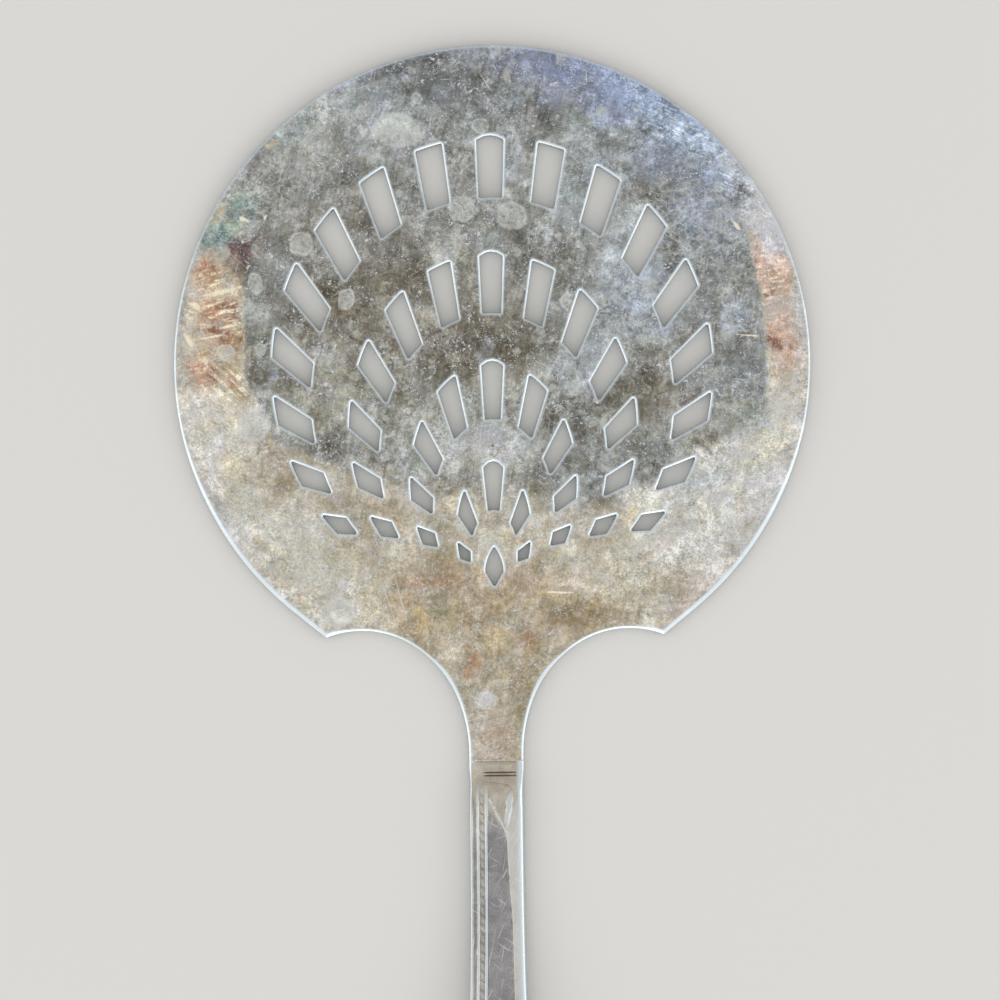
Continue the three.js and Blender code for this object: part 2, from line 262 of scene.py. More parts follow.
class StageLevels(bpy.types.PropertyGroup):
    floor: tone("Floor", "Plain pale floor", 206, 204, 200)
    zenith: level("Zenith", "Light from above", 0.98)
    back_horizon: level("Back Horizon", "Low light from behind the blade", 0.86)
    front_horizon: level("Front Horizon", "Low light from the handle's side", 1.35)
    front_lamp: level("Front Lamp", "Soft light from the handle's side", 1.5)
    right_lamp: level("Right Lamp", "Soft light from the right", 1.1)
    left_lamp: level("Left Lamp", "Soft light from the left", 1.0)
    camera_height: length("Camera Height", "Over the serving face", 350)
    view_width: length("View Width", "Across the picture, at the serving face", 125.42)
    lean: bpy.props.FloatProperty(
        name="Lean", description="Turn of the picture about the line of sight",
        default=math.radians(-0.62), unit="ROTATION",
    )


class ServerSettings(bpy.types.PropertyGroup):
    blade: bpy.props.PointerProperty(type=BladeSizes, name="Blade", description="Sizes of the blade")
    handle: bpy.props.PointerProperty(type=HandleSizes, name="Handle", description="Sizes of the handle")
    tones: bpy.props.PointerProperty(type=PlateTones, name="Tones", description="Colours of the toned plate")
    stage: bpy.props.PointerProperty(type=StageLevels, name="Stage", description="Floor, light and camera")


def own_properties(group):
    """The settings of a group, without those that every group has."""
    return [prop for prop in group.bl_rna.properties if prop.identifier not in {"rna_type", "name"}]


def in_millimetres(group):
    """The values of a group of sizes, with lengths in millimetres."""
    values = {}
    for prop in own_properties(group):
        value = getattr(group, prop.identifier)
        values[prop.identifier] = value / MM if prop.unit == "LENGTH" else value
    return SimpleNamespace(**values)


def smooth(value, low, high):
    """Goes from 0 to 1 between low and high with a soft start and end."""
    travel = np.clip((np.asarray(value, float) - low) / (high - low), 0, 1)
    return travel ** 2 * (3 - 2 * travel)


def window(value, start, full, fade, end):
    """Comes up from 0 to 1 between start and full, and goes back between fade and end."""
    return smooth(value, start, full) * (1 - smooth(value, fade, end))


def ridge(distance, width):
    """A soft bump of height 1 round a line."""
    return np.exp(-(np.asarray(distance, float) / width) ** 2)


# Patches of the toning, with patches of painted sheen along the rims: x, y, half length, half width, turn and
# strength, in millimetres from the blade's centre and degrees
TONING = {
    "cream_light": (
        (-35, -9, 5, 8, 15, 0.95), (-28, -25, 12, 9, -40, 0.65), (25, -19, 12, 6, 40, 0.85),
        (35, -13, 4, 6, 0, 0.9), (36.8, -4, 2, 5, 0, 0.9), (12, -26, 6, 2.6, 5, 0.6),
        (-20, -27, 6, 4, -20, 0.4), (-18, -31, 5, 3, -20, 0.8), (4, -20, 4, 3, 30, 0.5),
        (36.5, 20.5, 2.6, 5, 18, 1.0), (-35.5, 9, 4, 8, 0, 0.6), (36.6, 11, 2, 5, 8, 0.6),
        (34, -21, 4, 6, 30, 0.6), (18, -26, 8, 3, 20, 0.7), (-12, -27, 3, 3, 0, 0.5),
        (18, -18, 3.4, 2.4, 20, 1.2), (-5, -19, 3.4, 2.6, 0, 0.9), (0, -24, 3.4, 3, 0, 0.9),
        (31, -12, 4, 3, 20, 0.8), (37, -7, 2.8, 5, 0, 1.3), (-36, 13.5, 2, 3, 0, 0.7),
    ),
    "tan": (
        (-4, -28.5, 11, 4.4, 0, 0.66), (4, -35, 9, 5, 0, 0.62), (0, -41, 4, 7, 0, 0.46),
        (-10, -35, 7, 3.4, 20, 0.46), (12, -33.5, 7, 3, 20, 0.6), (0, -48, 4, 5, 0, 0.5),
        (13, -20.5, 4, 3, 0, 0.5), (-20, -17, 6, 3, 0, 0.4), (-10, -20, 5, 3, 0, 0.35),
        (7, -31, 9, 2.4, 6, 0.7), (-24, -13, 6, 2, 20, 0.4), (1, -50.2, 4, 0.5, 0, 0.8),
        (-14, 6, 11, 9, 0, 0.42), (-2, 3, 8, 5, 0, 0.42), (18, -6, 7, 5, 20, 0.36),
        (-20, 18, 5, 4, 0, 0.36),
    ),
    "pale": (
        (-23, 31, 8, 3, 40, 0.9), (-3.4, 24, 1.5, 5.5, 0, 0.5), (10, 19, 8, 5, -20, 0.5),
        (-1.6, -10.5, 9, 3.6, 10, 1.0), (16, 8, 5, 5, 0, 0.6), (-6, 14.5, 3.2, 2.2, 35, 0.8),
        (12, 13, 4, 4, 0, 0.5), (-20, 36, 5, 1.6, 30, 1.0), (-12, -9, 6, 3, 10, 0.4),
        (-27, -8, 2, 3, 0, 0.5), (28, -13.4, 6, 2, 32, 0.8), (-35, 20, 2.4, 6, -15, 1.3),
        (-32, 20, 3.4, 5, 0, 1.0), (-11.6, 29.4, 2.9, 1.9, -8, 0.9), (22, 5, 4, 4, 0, 0.4),
        (-22, 27, 5, 3, 40, 0.8), (4, 20, 4, 3, 0, 0.5), (-9.5, -7, 4, 3, 0, 0.7), (30, 17, 4, 5, 0, 0.5),
        (-28, 29, 4, 3, 45, 0.5), (17, 19, 4, 3, 0, 0.9), (6, 25, 4, 3, 0, 0.7), (31, -7, 3.2, 3, 0, 1.3),
        (-34.5, 19.5, 3, 4, 0, 0.6), (18, 30, 5, 3, -30, 0.7), (-18, 33, 5, 3, 25, 0.7),
    ),
    "smoke": (
        (-30.2, -0.6, 1.6, 3.4, 20, 0.85), (13.5, 34, 3, 1.6, 10, 0.55), (-13.3, 36.3, 2.4, 0.9, 20, 0.8),
        (-16, 8, 10, 7.5, 0, 0.66), (-12, 20.5, 5, 4, -60, 0.66), (-4, 3, 8.5, 5, 0, 0.85),
        (-3, 33.5, 7, 4.4, 0, 0.62), (-27, 9, 3, 4.4, 0, 0.6), (29, 3, 4, 2.6, 0, 0.75),
        (28.5, 12, 4.4, 2.4, 60, 0.62), (20.5, 24, 3, 2.4, 0, 0.5), (17, -5, 6, 4.4, 30, 0.66),
        (19, -12.5, 5, 2.4, 30, 0.7), (11, -11, 3.6, 2.8, 0, 0.6), (5, -4, 4.4, 2.8, 0, 0.6),
        (-20, -11, 5, 2.4, 0, 0.5), (4, 12, 4, 2.8, 0, 0.62), (-21, -1, 5, 3.6, 0, 0.5),
        (12, 24.5, 3.6, 3.6, 0, 0.42), (4, 5, 3.4, 4, 0, 0.66), (-21, 15.5, 5, 4.4, 40, 0.75),
        (7, 4, 3.4, 3, 0, 0.4), (29, 5, 4, 4, 0, 0.6), (9.5, -6.5, 5, 3, 0, 0.95), (24, -4.5, 4, 4, 0, 0.7),
        (-30, 4, 2.4, 6, 0, 0.5), (-5, 30.5, 4, 3, 0, 0.4),
    ),
    "moss": (
        (20.4, 24.4, 4, 3, 0, 0.6), (31, -4, 3.4, 6, 0, 0.5), (0.9, -39.2, 2, 2.6, 0, 0.3),
        (16, -8, 6, 4, 40, 0.4), (-7.6, -30.9, 1.5, 2.2, 0, 0.8), (9, 27, 8, 3, 0, 0.4),
        (-20, -4, 6, 5, 0, 0.4), (1, -33, 3, 2, 0, 0.4),
    ),
    "slate": (
        (31, -1, 3.2, 4.6, 0, 0.95), (30, -6.6, 4, 2.6, 20, 0.6), (25.5, 22, 4, 2.4, -45, 0.6),
        (29, 14.5, 2.6, 3, 0, 0.5), (12, 36.4, 6, 2, -12, 0.5), (-3.4, 35.4, 6, 3, 0, 0.5),
        (-13, 35, 4, 2, 20, 0.4), (-4.5, 29, 3, 2.6, 0, 0.5), (13, -3.5, 3, 2.6, 0, 0.5),
    ),
    "sky": (
        (23, 30, 7, 3, -38, 0.9), (26.5, 26.5, 7, 3.6, -45, 0.7), (18, 34, 6, 3.2, -28, 0.95),
        (27, 17, 5, 6, 0, 0.45), (18, 9, 4.4, 4, 0, 0.6), (20, 4.6, 4, 1.6, 0, 0.6),
        (8.6, -1, 2.6, 2.4, 20, 0.4), (-0.4, 2.3, 0.8, 2.2, 0, 0.6), (-0.6, -9.8, 6, 2.4, 10, 0.7),
        (3.1, 34.3, 0.8, 3, 0, 0.5), (-6.4, 14.6, 1.5, 1.3, 35, 0.55), (-27.6, -1.5, 0.6, 2.2, 0, 0.7),
        (30.6, 6.4, 2.6, 1.8, 50, 0.8), (21, 27, 4, 3, -40, 0.5), (-19.2, -2.2, 0.8, 0.8, 0, 0.6),
        (3, 28, 1.2, 3, 0, 0.4),
    ),
    "lilac": (
        (9, 37, 8, 3, -10, 1.0), (19, 36, 5, 1.8, -30, 0.9), (30, 21.5, 3, 5, 15, 0.5),
        (7.4, 33.4, 1.7, 1.5, 0, 0.85), (14, 33.5, 5, 3, -25, 0.8), (26.4, 19.5, 4, 4.6, 0, 0.6),
        (-17, 35.6, 4, 0.9, 25, 0.6), (4, 37.5, 5, 1.6, 0, 0.7), (21, 25.5, 4, 3, -40, 0.6),
    ),
    "teal": (
        (-30.8, 20, 2.6, 1.8, 60, 0.95), (-34, 16.3, 2.4, 1.5, 25, 1.0), (-25.6, 28.6, 4.4, 1.3, 38, 0.7),
        (-33, 14.8, 1.3, 1.3, 0, 0.9), (-29.1, 2.2, 0.9, 0.9, 0, 0.6), (-16, 33.5, 3, 0.8, 28, 0.4),
        (25, 17, 1.6, 1, 20, 0.5),
    ),
    "jade": (
        (-32.1, 17.8, 1.6, 1.0, 10, 0.9), (-31.6, 22, 1.0, 1.8, -20, 0.7), (-35, 18, 1.0, 1.2, 0, 0.9),
        (-36.4, 20.8, 1.2, 3, -15, 0.7), (-26.5, 30.2, 3, 0.9, 40, 0.5),
    ),
    "plum": (
        (-31.2, 13.2, 1.9, 2.4, 0, 1.0), (-29, 15, 1.6, 1.4, 0, 0.6), (-34.6, 5.4, 1.6, 2, 10, 0.6),
        (-28.3, -9.8, 3.2, 1.3, -15, 0.6), (-36, 5.8, 1.5, 1.3, 0, 0.9), (-32.5, -2, 1, 2, 40, 0.5),
        (-30.4, 24.5, 1, 2.4, -30, 0.5),
    ),
    "gold": (
        (-34.2, 19.4, 0.9, 1.8, -30, 0.9), (-27.6, 27, 0.8, 1.6, -45, 0.9),
        (-33.5, -12.6, 2.6, 2.6, 0, 0.6), (-9.9, -31.9, 0.8, 2.4, 15, 0.95),
        (16.6, -19.8, 1.1, 2.6, 0, 0.85), (-19.6, -25, 2.6, 0.9, 0, 0.6), (0, -35.8, 1.2, 2, 0, 0.8),
        (-33, 0.5, 2.4, 5, -10, 0.7), (12, -25, 5, 2, 0, 0.35), (8.2, -28.6, 3, 0.6, 0, 0.9),
    ),
    "copper": (
        (-35.2, 12.4, 1.9, 2.6, -10, 1.0), (-34.4, 7.4, 3.4, 2.4, 0, 0.9), (-33.8, 3.4, 3, 2.2, 15, 0.8),
        (-36.4, -1.8, 1.6, 4, 10, 0.95), (34.8, 13, 1.7, 2.4, 20, 0.8), (36.6, 4, 1.7, 2, 0, 1.0),
        (37, 0.2, 1.2, 1.8, 0, 0.7), (-8, -27.3, 5.4, 1.8, 0, 0.6), (3.5, -34.2, 1.8, 2.4, 0, 0.65),
        (-2.9, -38, 1.7, 1.5, 0, 0.75), (15.2, -17.2, 1.4, 1, 0, 0.9), (6.8, -19.5, 1.1, 2, 0, 0.45),
        (12.2, -22.6, 1.8, 0.8, 0, 0.4), (-11, -36.6, 1.4, 1.4, 0, 0.7), (-3.5, -33, 3, 1.6, 0, 0.5),
        (-11.5, -29, 1, 3, 12, 0.5), (36.3, 9.4, 1.4, 2.4, 0, 0.7), (-33, -3, 2, 3.4, 30, 0.6),
    ),
    "blush": (
        (35.2, 12, 2.2, 4.2, 8, 1.0), (36.6, 4, 1.9, 5, 0, 0.95), (36.8, -3, 1.8, 5, 0, 0.5),
        (-36.4, 5, 1.4, 9, 3, 0.6), (0, -47, 3, 4, 0, 0.5), (26, -29, 5, 4, 40, 0.5),
        (3, -27, 9, 2, 0, 0.4),
    ),
    "rust": (
        (-35.4, 12.6, 1.4, 1.6, 0, 0.6), (-33, 7.2, 2.2, 1.3, 0, 0.9), (-35.4, 4.4, 1.5, 1.4, 0, 0.9),
        (-33.6, 3, 1.8, 1.4, 0, 0.9), (-31.9, 4.6, 0.9, 2.4, 0, 0.8), (-35.4, -0.6, 1.6, 1.6, 0, 0.8),
        (35.9, 2.6, 1.4, 1.2, 0, 1.0), (34.2, 13, 1.0, 1.4, 15, 0.5), (35.4, 9.6, 1.1, 1.8, 0, 0.7),
        (3.4, -34.4, 1.2, 1.2, 0, 0.35), (-3, -37.8, 1, 0.9, 0, 0.5), (15.3, -17.2, 0.8, 0.6, 0, 0.6),
    ),
    # Painted sheen along the rims, and pale film on the dried drops and wiped places
    "pearl_and_sheen": (
        (36.4, 19, 3.6, 5, 15, 1.9), (32.5, 25, 3, 3, 35, 1.0), (38.4, 10, 0.8, 8, 8, 0.8),
        (36, -19, 4, 6, 25, 1.0), (30, -24, 7, 5, 45, 0.6), (27.6, -22, 6, 4, 45, 0.6),
        (29, -13, 5, 3, 30, 0.7), (-30, -25, 8, 2.6, -50, 0.6), (37.2, 18, 1.6, 4, 10, 1.0),
        (38.2, -2, 0.9, 8, 0, 0.7), (-20, 35.5, 5, 2.4, 28, 0.5), (-24, 29.5, 6, 2.4, 42, 0.4),
        (-1.5, -10.8, 6, 2.2, 8, 0.65), (28.5, -13.6, 4.5, 2, 32, 0.65), (-36.2, -10, 2.4, 7, 12, 0.7),
        (-30.1, -7.5, 1.9, 1.9, 0, 1.3), (-19.7, -31.1, 2.1, 1.7, 0, 1.0), (-0.9, -42.3, 1.1, 1.0, 30, 1.1),
    ),
    "flakes": (
        (-34.5, 8, 3.2, 5.6, 0, 1.0), (35.6, 9, 1.6, 5, 6, 0.85), (-28, -10.5, 4, 1.6, -20, 0.5),
        (9, -28, 4, 1, 0, 0.6), (-36.6, 0, 1.6, 4, 0, 0.7),
    ),
    "shavings": (
        (-33, -3.4, 3, 4.6, 20, 1.0), (-30.6, -7, 3, 3, 0, 0.7), (-36.5, -8, 1.6, 4, 0, 0.6),
    ),
    "streaks": (
        (24, 29.5, 7, 3.6, -38, 0.9), (31, 23.5, 3, 4.4, 20, 0.9), (13, 35.4, 5, 2, -15, 0.5),
        (18, 7.5, 4, 3, 0, 0.4),
    ),
}
# Broad leans of the toning to cool, or below 0 to warm: x, y, half length, half width, turn and strength
LEANS = (
    (21, 33, 11, 6, -35, 0.75), (7, 37, 6, 3, -10, 0.35), (27, 22, 8, 8, 0, 0.15), (17, 9, 6, 8, 0, 0.3),
    (12, 3, 4, 5, 0, 0.35), (-8, 35, 10, 4, 0, 0.25), (13, 21, 8, 6, 0, 0.2), (25, -17, 7, 4, 30, 0.25),
    (31, -24, 6, 6, 40, 0.15), (36, 16, 3, 5, 0, 0.25), (-12, 6, 18, 13, 0, -0.42),
    (-20, 19, 8, 6, 0, -0.15), (3, -1, 8, 8, 0, -0.3), (22, -4, 6, 6, 0, -0.45), (-22, -4, 7, 6, 0, -0.35),
    (0, -32, 15, 8, 0, -0.4), (-12, -31, 4, 5, 0, -0.3), (-36, 5, 3, 7, 0, -0.35),
)
# Streaky colours: turn, stretch and scale of their streaks
STREAKS = {"flakes": (13, 5, 1.8), "shavings": (-44, 5, 1.9), "streaks": (-24, 7, 3.2)}
# Colours that break up into small flakes rather than fade
FLAKY = ("gold", "copper", "rust", "flakes", "shavings", "streaks")
# Colours that stop at the film's edge, outside and inside
OFF_THE_FILM = ("copper", "blush", "rust", "flakes", "shavings")
ON_THE_FILM = ("smoke", "slate")
# How far out a patch ends, and the part of that in which it fades
SOFT_FADE = (1.5, 0.9)
FLAKY_FADE = (1.6, 1.6)
# Cool band along the rim: distances from the centre at which it starts and is full, its strength, and the
# heights over the neck between which it ends
RIM_BAND = (38.0, 39.6, 0.5)
RIM_BAND_END = (-36.0, -32.0)
# Distance from a lean's middle at which it fades, and the same for the places of the tide lines
LEAN_FADE = 1.0
TIDE_FADE = (0.6, 1.2)
# Noise that stirs the edges of the patches, and of the film and the drops: scale and amount
PATCH_STIRS = ((0.13, 1.6), (0.42, 0.9), (1.2, 0.4))
SPOT_STIR = (0.8, 0.3)
# Slices of the noise that push a place across and along
STIR_SLICES = (17.7, 63.3)
# Edge of the grey film, which has run dry against the bare, warm plate at the sides and below
FILM_EDGE = np.array((
    (60, 21), (35.5, 20), (31.6, 17.6), (31.9, 16.3), (33.4, 10.7), (34, 5.8), (34.4, 1.5), (34.5, -4.6),
    (34, -7), (30.2, -10.6), (26.6, -12.4), (20.2, -16), (16, -18.2), (11, -18.8), (5, -16), (-3, -16),
    (-10, -15), (-16, -13.5), (-22, -12), (-27, -9.5), (-29.5, -6), (-31, -1), (-31.2, 5), (-31, 9),
    (-31.5, 13.5), (-34, 15.4), (-60, 15.5), (-60, 60), (60, 60),
))
# The film's edge is crisp at the sides and soft in the middle: half its width there, and the places across
# between which it changes
CRISP_EDGE = (0.3, 3.0, 14.0, 22.0)
# Places with the wavy edges of dried water: x, y, half length, half width and turn
TIDE_LINES = (
    (25, 17, 7, 9, 20), (17, 6, 6, 6, 0), (31, 6.4, 3.4, 4, 0), (-28, 22, 3, 5, -30), (9, -3, 4, 4, 0),
)
# Dried drops: x, y, half length, half width and turn
WATER_SPOTS = (
    (-11.6, 29.4, 3.1, 2.1, -8), (-23.8, 15.4, 1.55, 1.5, 0), (-29.6, 10.4, 0.95, 1.4, 10),
    (-3.6, 19.4, 1.65, 1.65, 0), (2.7, 18.5, 2.0, 1.7, 0), (-18.2, 8.2, 1.1, 1.35, 0),
    (-30.1, -7.5, 2.0, 2.0, 0), (-29.1, 2.0, 0.85, 0.8, 0), (-33.4, 1.7, 1.1, 1.0, 0),
    (-0.9, -42.3, 1.2, 1.05, 30), (-19.7, -31.1, 2.2, 1.8, 0), (-1.1, 29.8, 1.1, 1.0, 0),
    (15.2, -7.5, 1.7, 1.5, 0), (9.9, 7.6, 1.4, 1.0, -40), (36.7, 2.1, 0.55, 0.5, 0),
    (-16.1, 31.6, 0.7, 0.9, 0), (-9.1, 33.4, 0.6, 0.7, 0),
)


# Blade

def blade_layout(blade):
    """Places that follow from the blade's sizes, in millimetres from the blade's centre.

    Only the centre itself and the handle's root are given from the frame's origin.
    """
    radius = blade.diameter / 2
    tip_x = blade.shoulder_span / 2
    tip_radius = radius + blade.shoulder_reach
    tip_y = -math.sqrt(tip_radius ** 2 - tip_x ** 2)
    hollow_half_width = tip_x - blade.hollow_inset - blade.neck_width / 2
    hollow_y = tip_y - blade.hollow_drop * math.sqrt(1 - (blade.hollow_inset / hollow_half_width) ** 2)
    collar_y = hollow_y - blade.neck_run
    centre_y = BLADE_BOX[1].y / MM - radius
    return SimpleNamespace(
        radius=radius,
        tip=(tip_x, tip_y),
        tip_radius=tip_radius,
        hollow_centre=(tip_x - blade.hollow_inset, hollow_y),
        hollow_half_width=hollow_half_width,
        collar_y=collar_y,
        tongue_end_y=collar_y - blade.lap_length,
        centre_y=centre_y,
        root_y=centre_y + collar_y,
    )


def oval_arc(centre, half_width, half_height, start, end, steps):
    """Points on an oval from one angle to another."""
    angles = np.linspace(start, end, steps + 1)
    x = centre[0] + half_width * np.cos(angles)
    y = centre[1] + half_height * np.sin(angles)
    return np.stack([x, y], axis=1)


def mirrored(points):
    """The points on the other side of the axis, in the other order."""
    return (points * (-1, 1))[::-1]


def rounded_corners(loop, radius):
    """Puts an arc into each clear corner of a closed loop."""
    points = []
    for before, corner, after in zip(np.roll(loop, 1, 0), loop, np.roll(loop, -1, 0)):
        back = before - corner
        ahead = after - corner
        back_length = np.linalg.norm(back)
        ahead_length = np.linalg.norm(ahead)
        back = back / back_length
        ahead = ahead / ahead_length
        angle = math.acos(np.clip(back @ ahead, -1, 1))
        if angle > CORNER_LIMIT:
            points.append(corner)
            continue
        slope = math.tan(angle / 2)
        reach = min(radius / slope, back_length / FILLET_SIDE_PARTS, ahead_length / FILLET_SIDE_PARTS)
        bisector = (back + ahead) / np.linalg.norm(back + ahead)
        centre = corner + bisector * math.hypot(reach, reach * slope)
        from_centre = corner + back * reach - centre
        sweep = (math.pi - angle) * np.sign(back[1] * ahead[0] - back[0] * ahead[1])
        for turn in np.linspace(0, sweep, FILLET_STEPS + 1):
            cos, sin = math.cos(turn), math.sin(turn)
            points.append(centre + (
                from_centre[0] * cos - from_centre[1] * sin,
                from_centre[0] * sin + from_centre[1] * cos,
            ))
    return np.array(points)


def offset_loop(loop, distance):
    """Moves each side of a closed loop to its left."""
    ahead = np.roll(loop, -1, axis=0) - loop
    ahead = ahead / np.linalg.norm(ahead, axis=1, keepdims=True)
    behind = np.roll(ahead, 1, axis=0)
    both = ahead + behind
    normal = np.stack([-both[:, 1], both[:, 0]], axis=1)
    return loop + normal * (distance / (1 + (ahead * behind).sum(1)))[:, None]


def offset_path(path, distances):
    """Moves the points of an open path to its left."""
    run = np.gradient(path, axis=0)
    run = run / np.linalg.norm(run, axis=1, keepdims=True)
    return path + np.stack([-run[:, 1], run[:, 0]], axis=1) * distances[:, None]


def crossing(first, second):
    """Where two open paths cross, counted in points along each."""
    start, other_start = first[:-1, None], second[None, :-1]
    run, other_run = np.diff(first, axis=0)[:, None], np.diff(second, axis=0)[None]
    gap = other_start - start
    slant = np.cross(run, other_run)
    slant = np.where(slant == 0, np.inf, slant)
    place, other_place = np.cross(gap, other_run) / slant, np.cross(gap, run) / slant
    half = 0.5
    on_first = np.abs(place - half) < half + MEETING_SPARE
    on_second = np.abs(other_place - half) < half + MEETING_SPARE
    both = on_first & on_second & np.isfinite(slant)
    if not both.any():
        raise RuntimeError("two sides of the blade's outline don't meet")
    i, j = np.argwhere(both)[0]
    return i + place[i, j], j + other_place[i, j]


def even_points(path, start, end, steps):
    """Evenly spaced points between two places on a path, without the last."""
    places = np.concatenate([[start], np.arange(math.floor(start) + 1, math.ceil(end)), [end]])
    counts = np.arange(len(path))
    points = np.stack([np.interp(places, counts, path[:, i]) for i in range(2)], axis=1)
    run = np.concatenate([[0], np.cumsum(np.linalg.norm(np.diff(points, axis=0), axis=1))])
    wanted = np.linspace(0, run[-1], steps + 1)[:-1]
    return np.stack([np.interp(wanted, run, points[:, i]) for i in range(2)], axis=1)


def blade_sides(blade, layout):
    """Open paths round the blade, turning left.

    They are the right neck and hollow, the rim, the left hollow and neck, and the tongue's end.
    """
    tip_angle = math.atan2(layout.tip[1], layout.tip[0])
    leave_angle = tip_angle + math.acos(layout.radius / layout.tip_radius)
    rim = oval_arc((0, 0), layout.radius, layout.radius, leave_angle, math.pi - leave_angle, RIM_STEPS)
    tip_turn = math.acos(blade.hollow_inset / layout.hollow_half_width)
    hollow = oval_arc(
        layout.hollow_centre, layout.hollow_half_width, blade.hollow_drop, math.pi, tip_turn, HOLLOW_STEPS
    )
    neck_half = blade.neck_width / 2
    neck_y = np.linspace(layout.tongue_end_y, layout.hollow_centre[1], NECK_STEPS, endpoint=False)
    right = np.vstack([np.column_stack([np.full(NECK_STEPS, neck_half), neck_y]), hollow])
    rim = np.vstack([[layout.tip], rim, [(-layout.tip[0], layout.tip[1])]])
    end = np.array([(-neck_half, layout.tongue_end_y), (neck_half, layout.tongue_end_y)])
    return right, rim, mirrored(right), end


def outline_ring(sides, insets, corner_round):
    """The blade's outline, drawn in by the insets along its sides, with as many points for any insets."""
    moved = [offset_path(side, inset) for side, inset in zip(sides, insets)]
    meetings = [crossing(side, after) for side, after in zip(moved, moved[1:] + moved[:1])]
    ring = []
    side_steps = (HOLLOW_STEPS, RIM_STEPS, HOLLOW_STEPS, TONGUE_END_STEPS)
    for number, (side, steps) in enumerate(zip(moved, side_steps)):
        ring.append(even_points(side, meetings[number - 1][1], meetings[number][0], steps))
    return rounded_corners(np.vstack(ring), max(corner_round - insets[1].max(), SHARPEST))


def ray_on_oval(focus_y, angle, foot_y, top, half_width):
    """Where rays from a focus on the axis meet an oval that stands on the foot point."""
    half_height = (top - foot_y) / 2
    across = np.sin(angle) / half_width
    along = np.cos(angle) / half_height
    offset = (focus_y - (top + foot_y) / 2) / half_height
    square = across ** 2 + along ** 2
    reach = (-offset * along + np.sqrt((offset * along) ** 2 - square * (offset ** 2 - 1))) / square
    return np.stack([reach * np.sin(angle), focus_y + reach * np.cos(angle)], axis=1)


def slot_outline(blade, row, index):
    """One slot of a row, turning left. The pitch grows with the cube of the place along the row."""
    foot_y = -blade.foot_below_centre
    growth = (row.last_angle - row.first_step * row.pairs) / row.pairs ** 3
    ends = []
    for top, half_width, steps in (
        (row.top, row.half_width, OUTER_END_STEPS),
        (row.top - row.axis_length, row.half_width - row.side_length, INNER_END_STEPS),
    ):
        place = index + blade.slot_share * np.linspace(-0.5, 0.5, steps + 1)
        angle = np.radians(row.first_step * place + growth * place ** 3)
        ends.append(ray_on_oval(foot_y + row.focus_above_foot, angle, foot_y, top, half_width))
    outer, inner = ends
    if index == 0:
        outer[:, 1] += blade.arch_rise * (CROWN_OVER_OVAL - (outer[:, 0] / outer[-1, 0]) ** 2)
    return np.vstack([inner, outer[::-1]])


def leaf_outline(blade):
    """The leaf that closes the pattern, turning left from its lower point."""
    low = -blade.foot_below_centre + blade.leaf_above_foot
    high = low + blade.leaf_length
    waist = np.array([blade.leaf_width / 2, low + blade.leaf_waist])
    bulge = np.array([waist[0], (waist[1] + high) / 2])
    travel = np.linspace(0, 1, LEAF_STEPS + 1)[:, None]
    right = (1 - travel) ** 2 * waist + 2 * travel * (1 - travel) * bulge + travel ** 2 * np.array([0, high])
    return np.vstack([[(0, low)], right, mirrored(right)[1:]])


def inside(loop, points):
    """Which points lie inside a closed loop."""
    x, y = points[:, 0], points[:, 1]
    found = np.zeros(len(points), bool)
    for (ax, ay), (bx, by) in zip(loop, np.roll(loop, -1, axis=0)):
        if ay != by:
            crosses = ((ay > y) != (by > y)) & (x < ax + (y - ay) * (bx - ax) / (by - ay))
            found ^= crosses
    return found


def on_face(loops, points):
    """Which points lie inside the outer loop and outside the holes."""
    found = inside(loops[0], points)
    for hole in loops[1:]:
        near = np.all((points > hole.min(0)) & (points < hole.max(0)), axis=1)
        found[near] &= ~inside(hole, points[near])
    return found


def face_grid(loops):
    """Even points on the face, in staggered lines, for the marks of the toning."""
    low, high = loops[0].min(0), loops[0].max(0)
    lines = np.arange(low[1], high[1], GRID_STEP * math.sqrt(3) / 2)
    places = np.arange(low[0], high[0], GRID_STEP)
    x, y = np.meshgrid(places, lines)
    x[1::2] += GRID_STEP / 2
    points = np.column_stack([x.ravel(), y.ravel()])
    return points[on_face(loops, points)]


def face_triangles(loops, inner):
    """Triangles between an outer loop and the holes in it, as numbers of the loops' and inner points."""
    points = np.vstack([*loops, inner])
    edges = []
    first = 0
    for loop in loops:
        count = len(loop)
        edges += [(first + i, first + (i + 1) % count) for i in range(count)]
        first += count
    made = delaunay_2d_cdt([Vector(p) for p in points], edges, [], 0, MERGE_GAP)
    if len(made[0]) != len(points):
        raise RuntimeError("two edges of the blade's face cross")
    triangles = np.array(made[2])
    between = (triangles < first).all(1)
    middles = points[triangles[between]].mean(1)
    kept = np.ones(len(triangles), bool)
    kept[between] = on_face(loops, middles)
    triangles = triangles[kept]
    a, b, c = (points[triangles[:, i]] for i in range(3))
    turn = (b[:, 0] - a[:, 0]) * (c[:, 1] - a[:, 1]) - (b[:, 1] - a[:, 1]) * (c[:, 0] - a[:, 0])
    triangles[turn < 0] = triangles[turn < 0][:, ::-1]
    return triangles


def rim_eases(blade, points):
    """The ease at points on the blade's outline."""
    x, y = points.T
    wide = window(y, *WIDE_EASE_GROWS, *WIDE_EASE_SHRINKS) * smooth(np.hypot(x, y), *WIDE_EASE_REACH)
    return blade.fine_ease + (blade.rim_ease - blade.fine_ease) * wide


def rim_rings(blade, sides):
    """Points, heights and wear of the rings round the blade's outline."""
    rings_by_side = [edge_rings(rim_eases(blade, side), blade.thickness) for side in sides]
    found = []
    for number in range(len(rings_by_side[0])):
        insets = [rings[number][0] for rings in rings_by_side]
        ring = outline_ring(sides, insets, blade.tip_round)
        height, worn = edge_rings(rim_eases(blade, ring), blade.thickness)[number][1:]
        found.append((ring, height, worn))
    return found


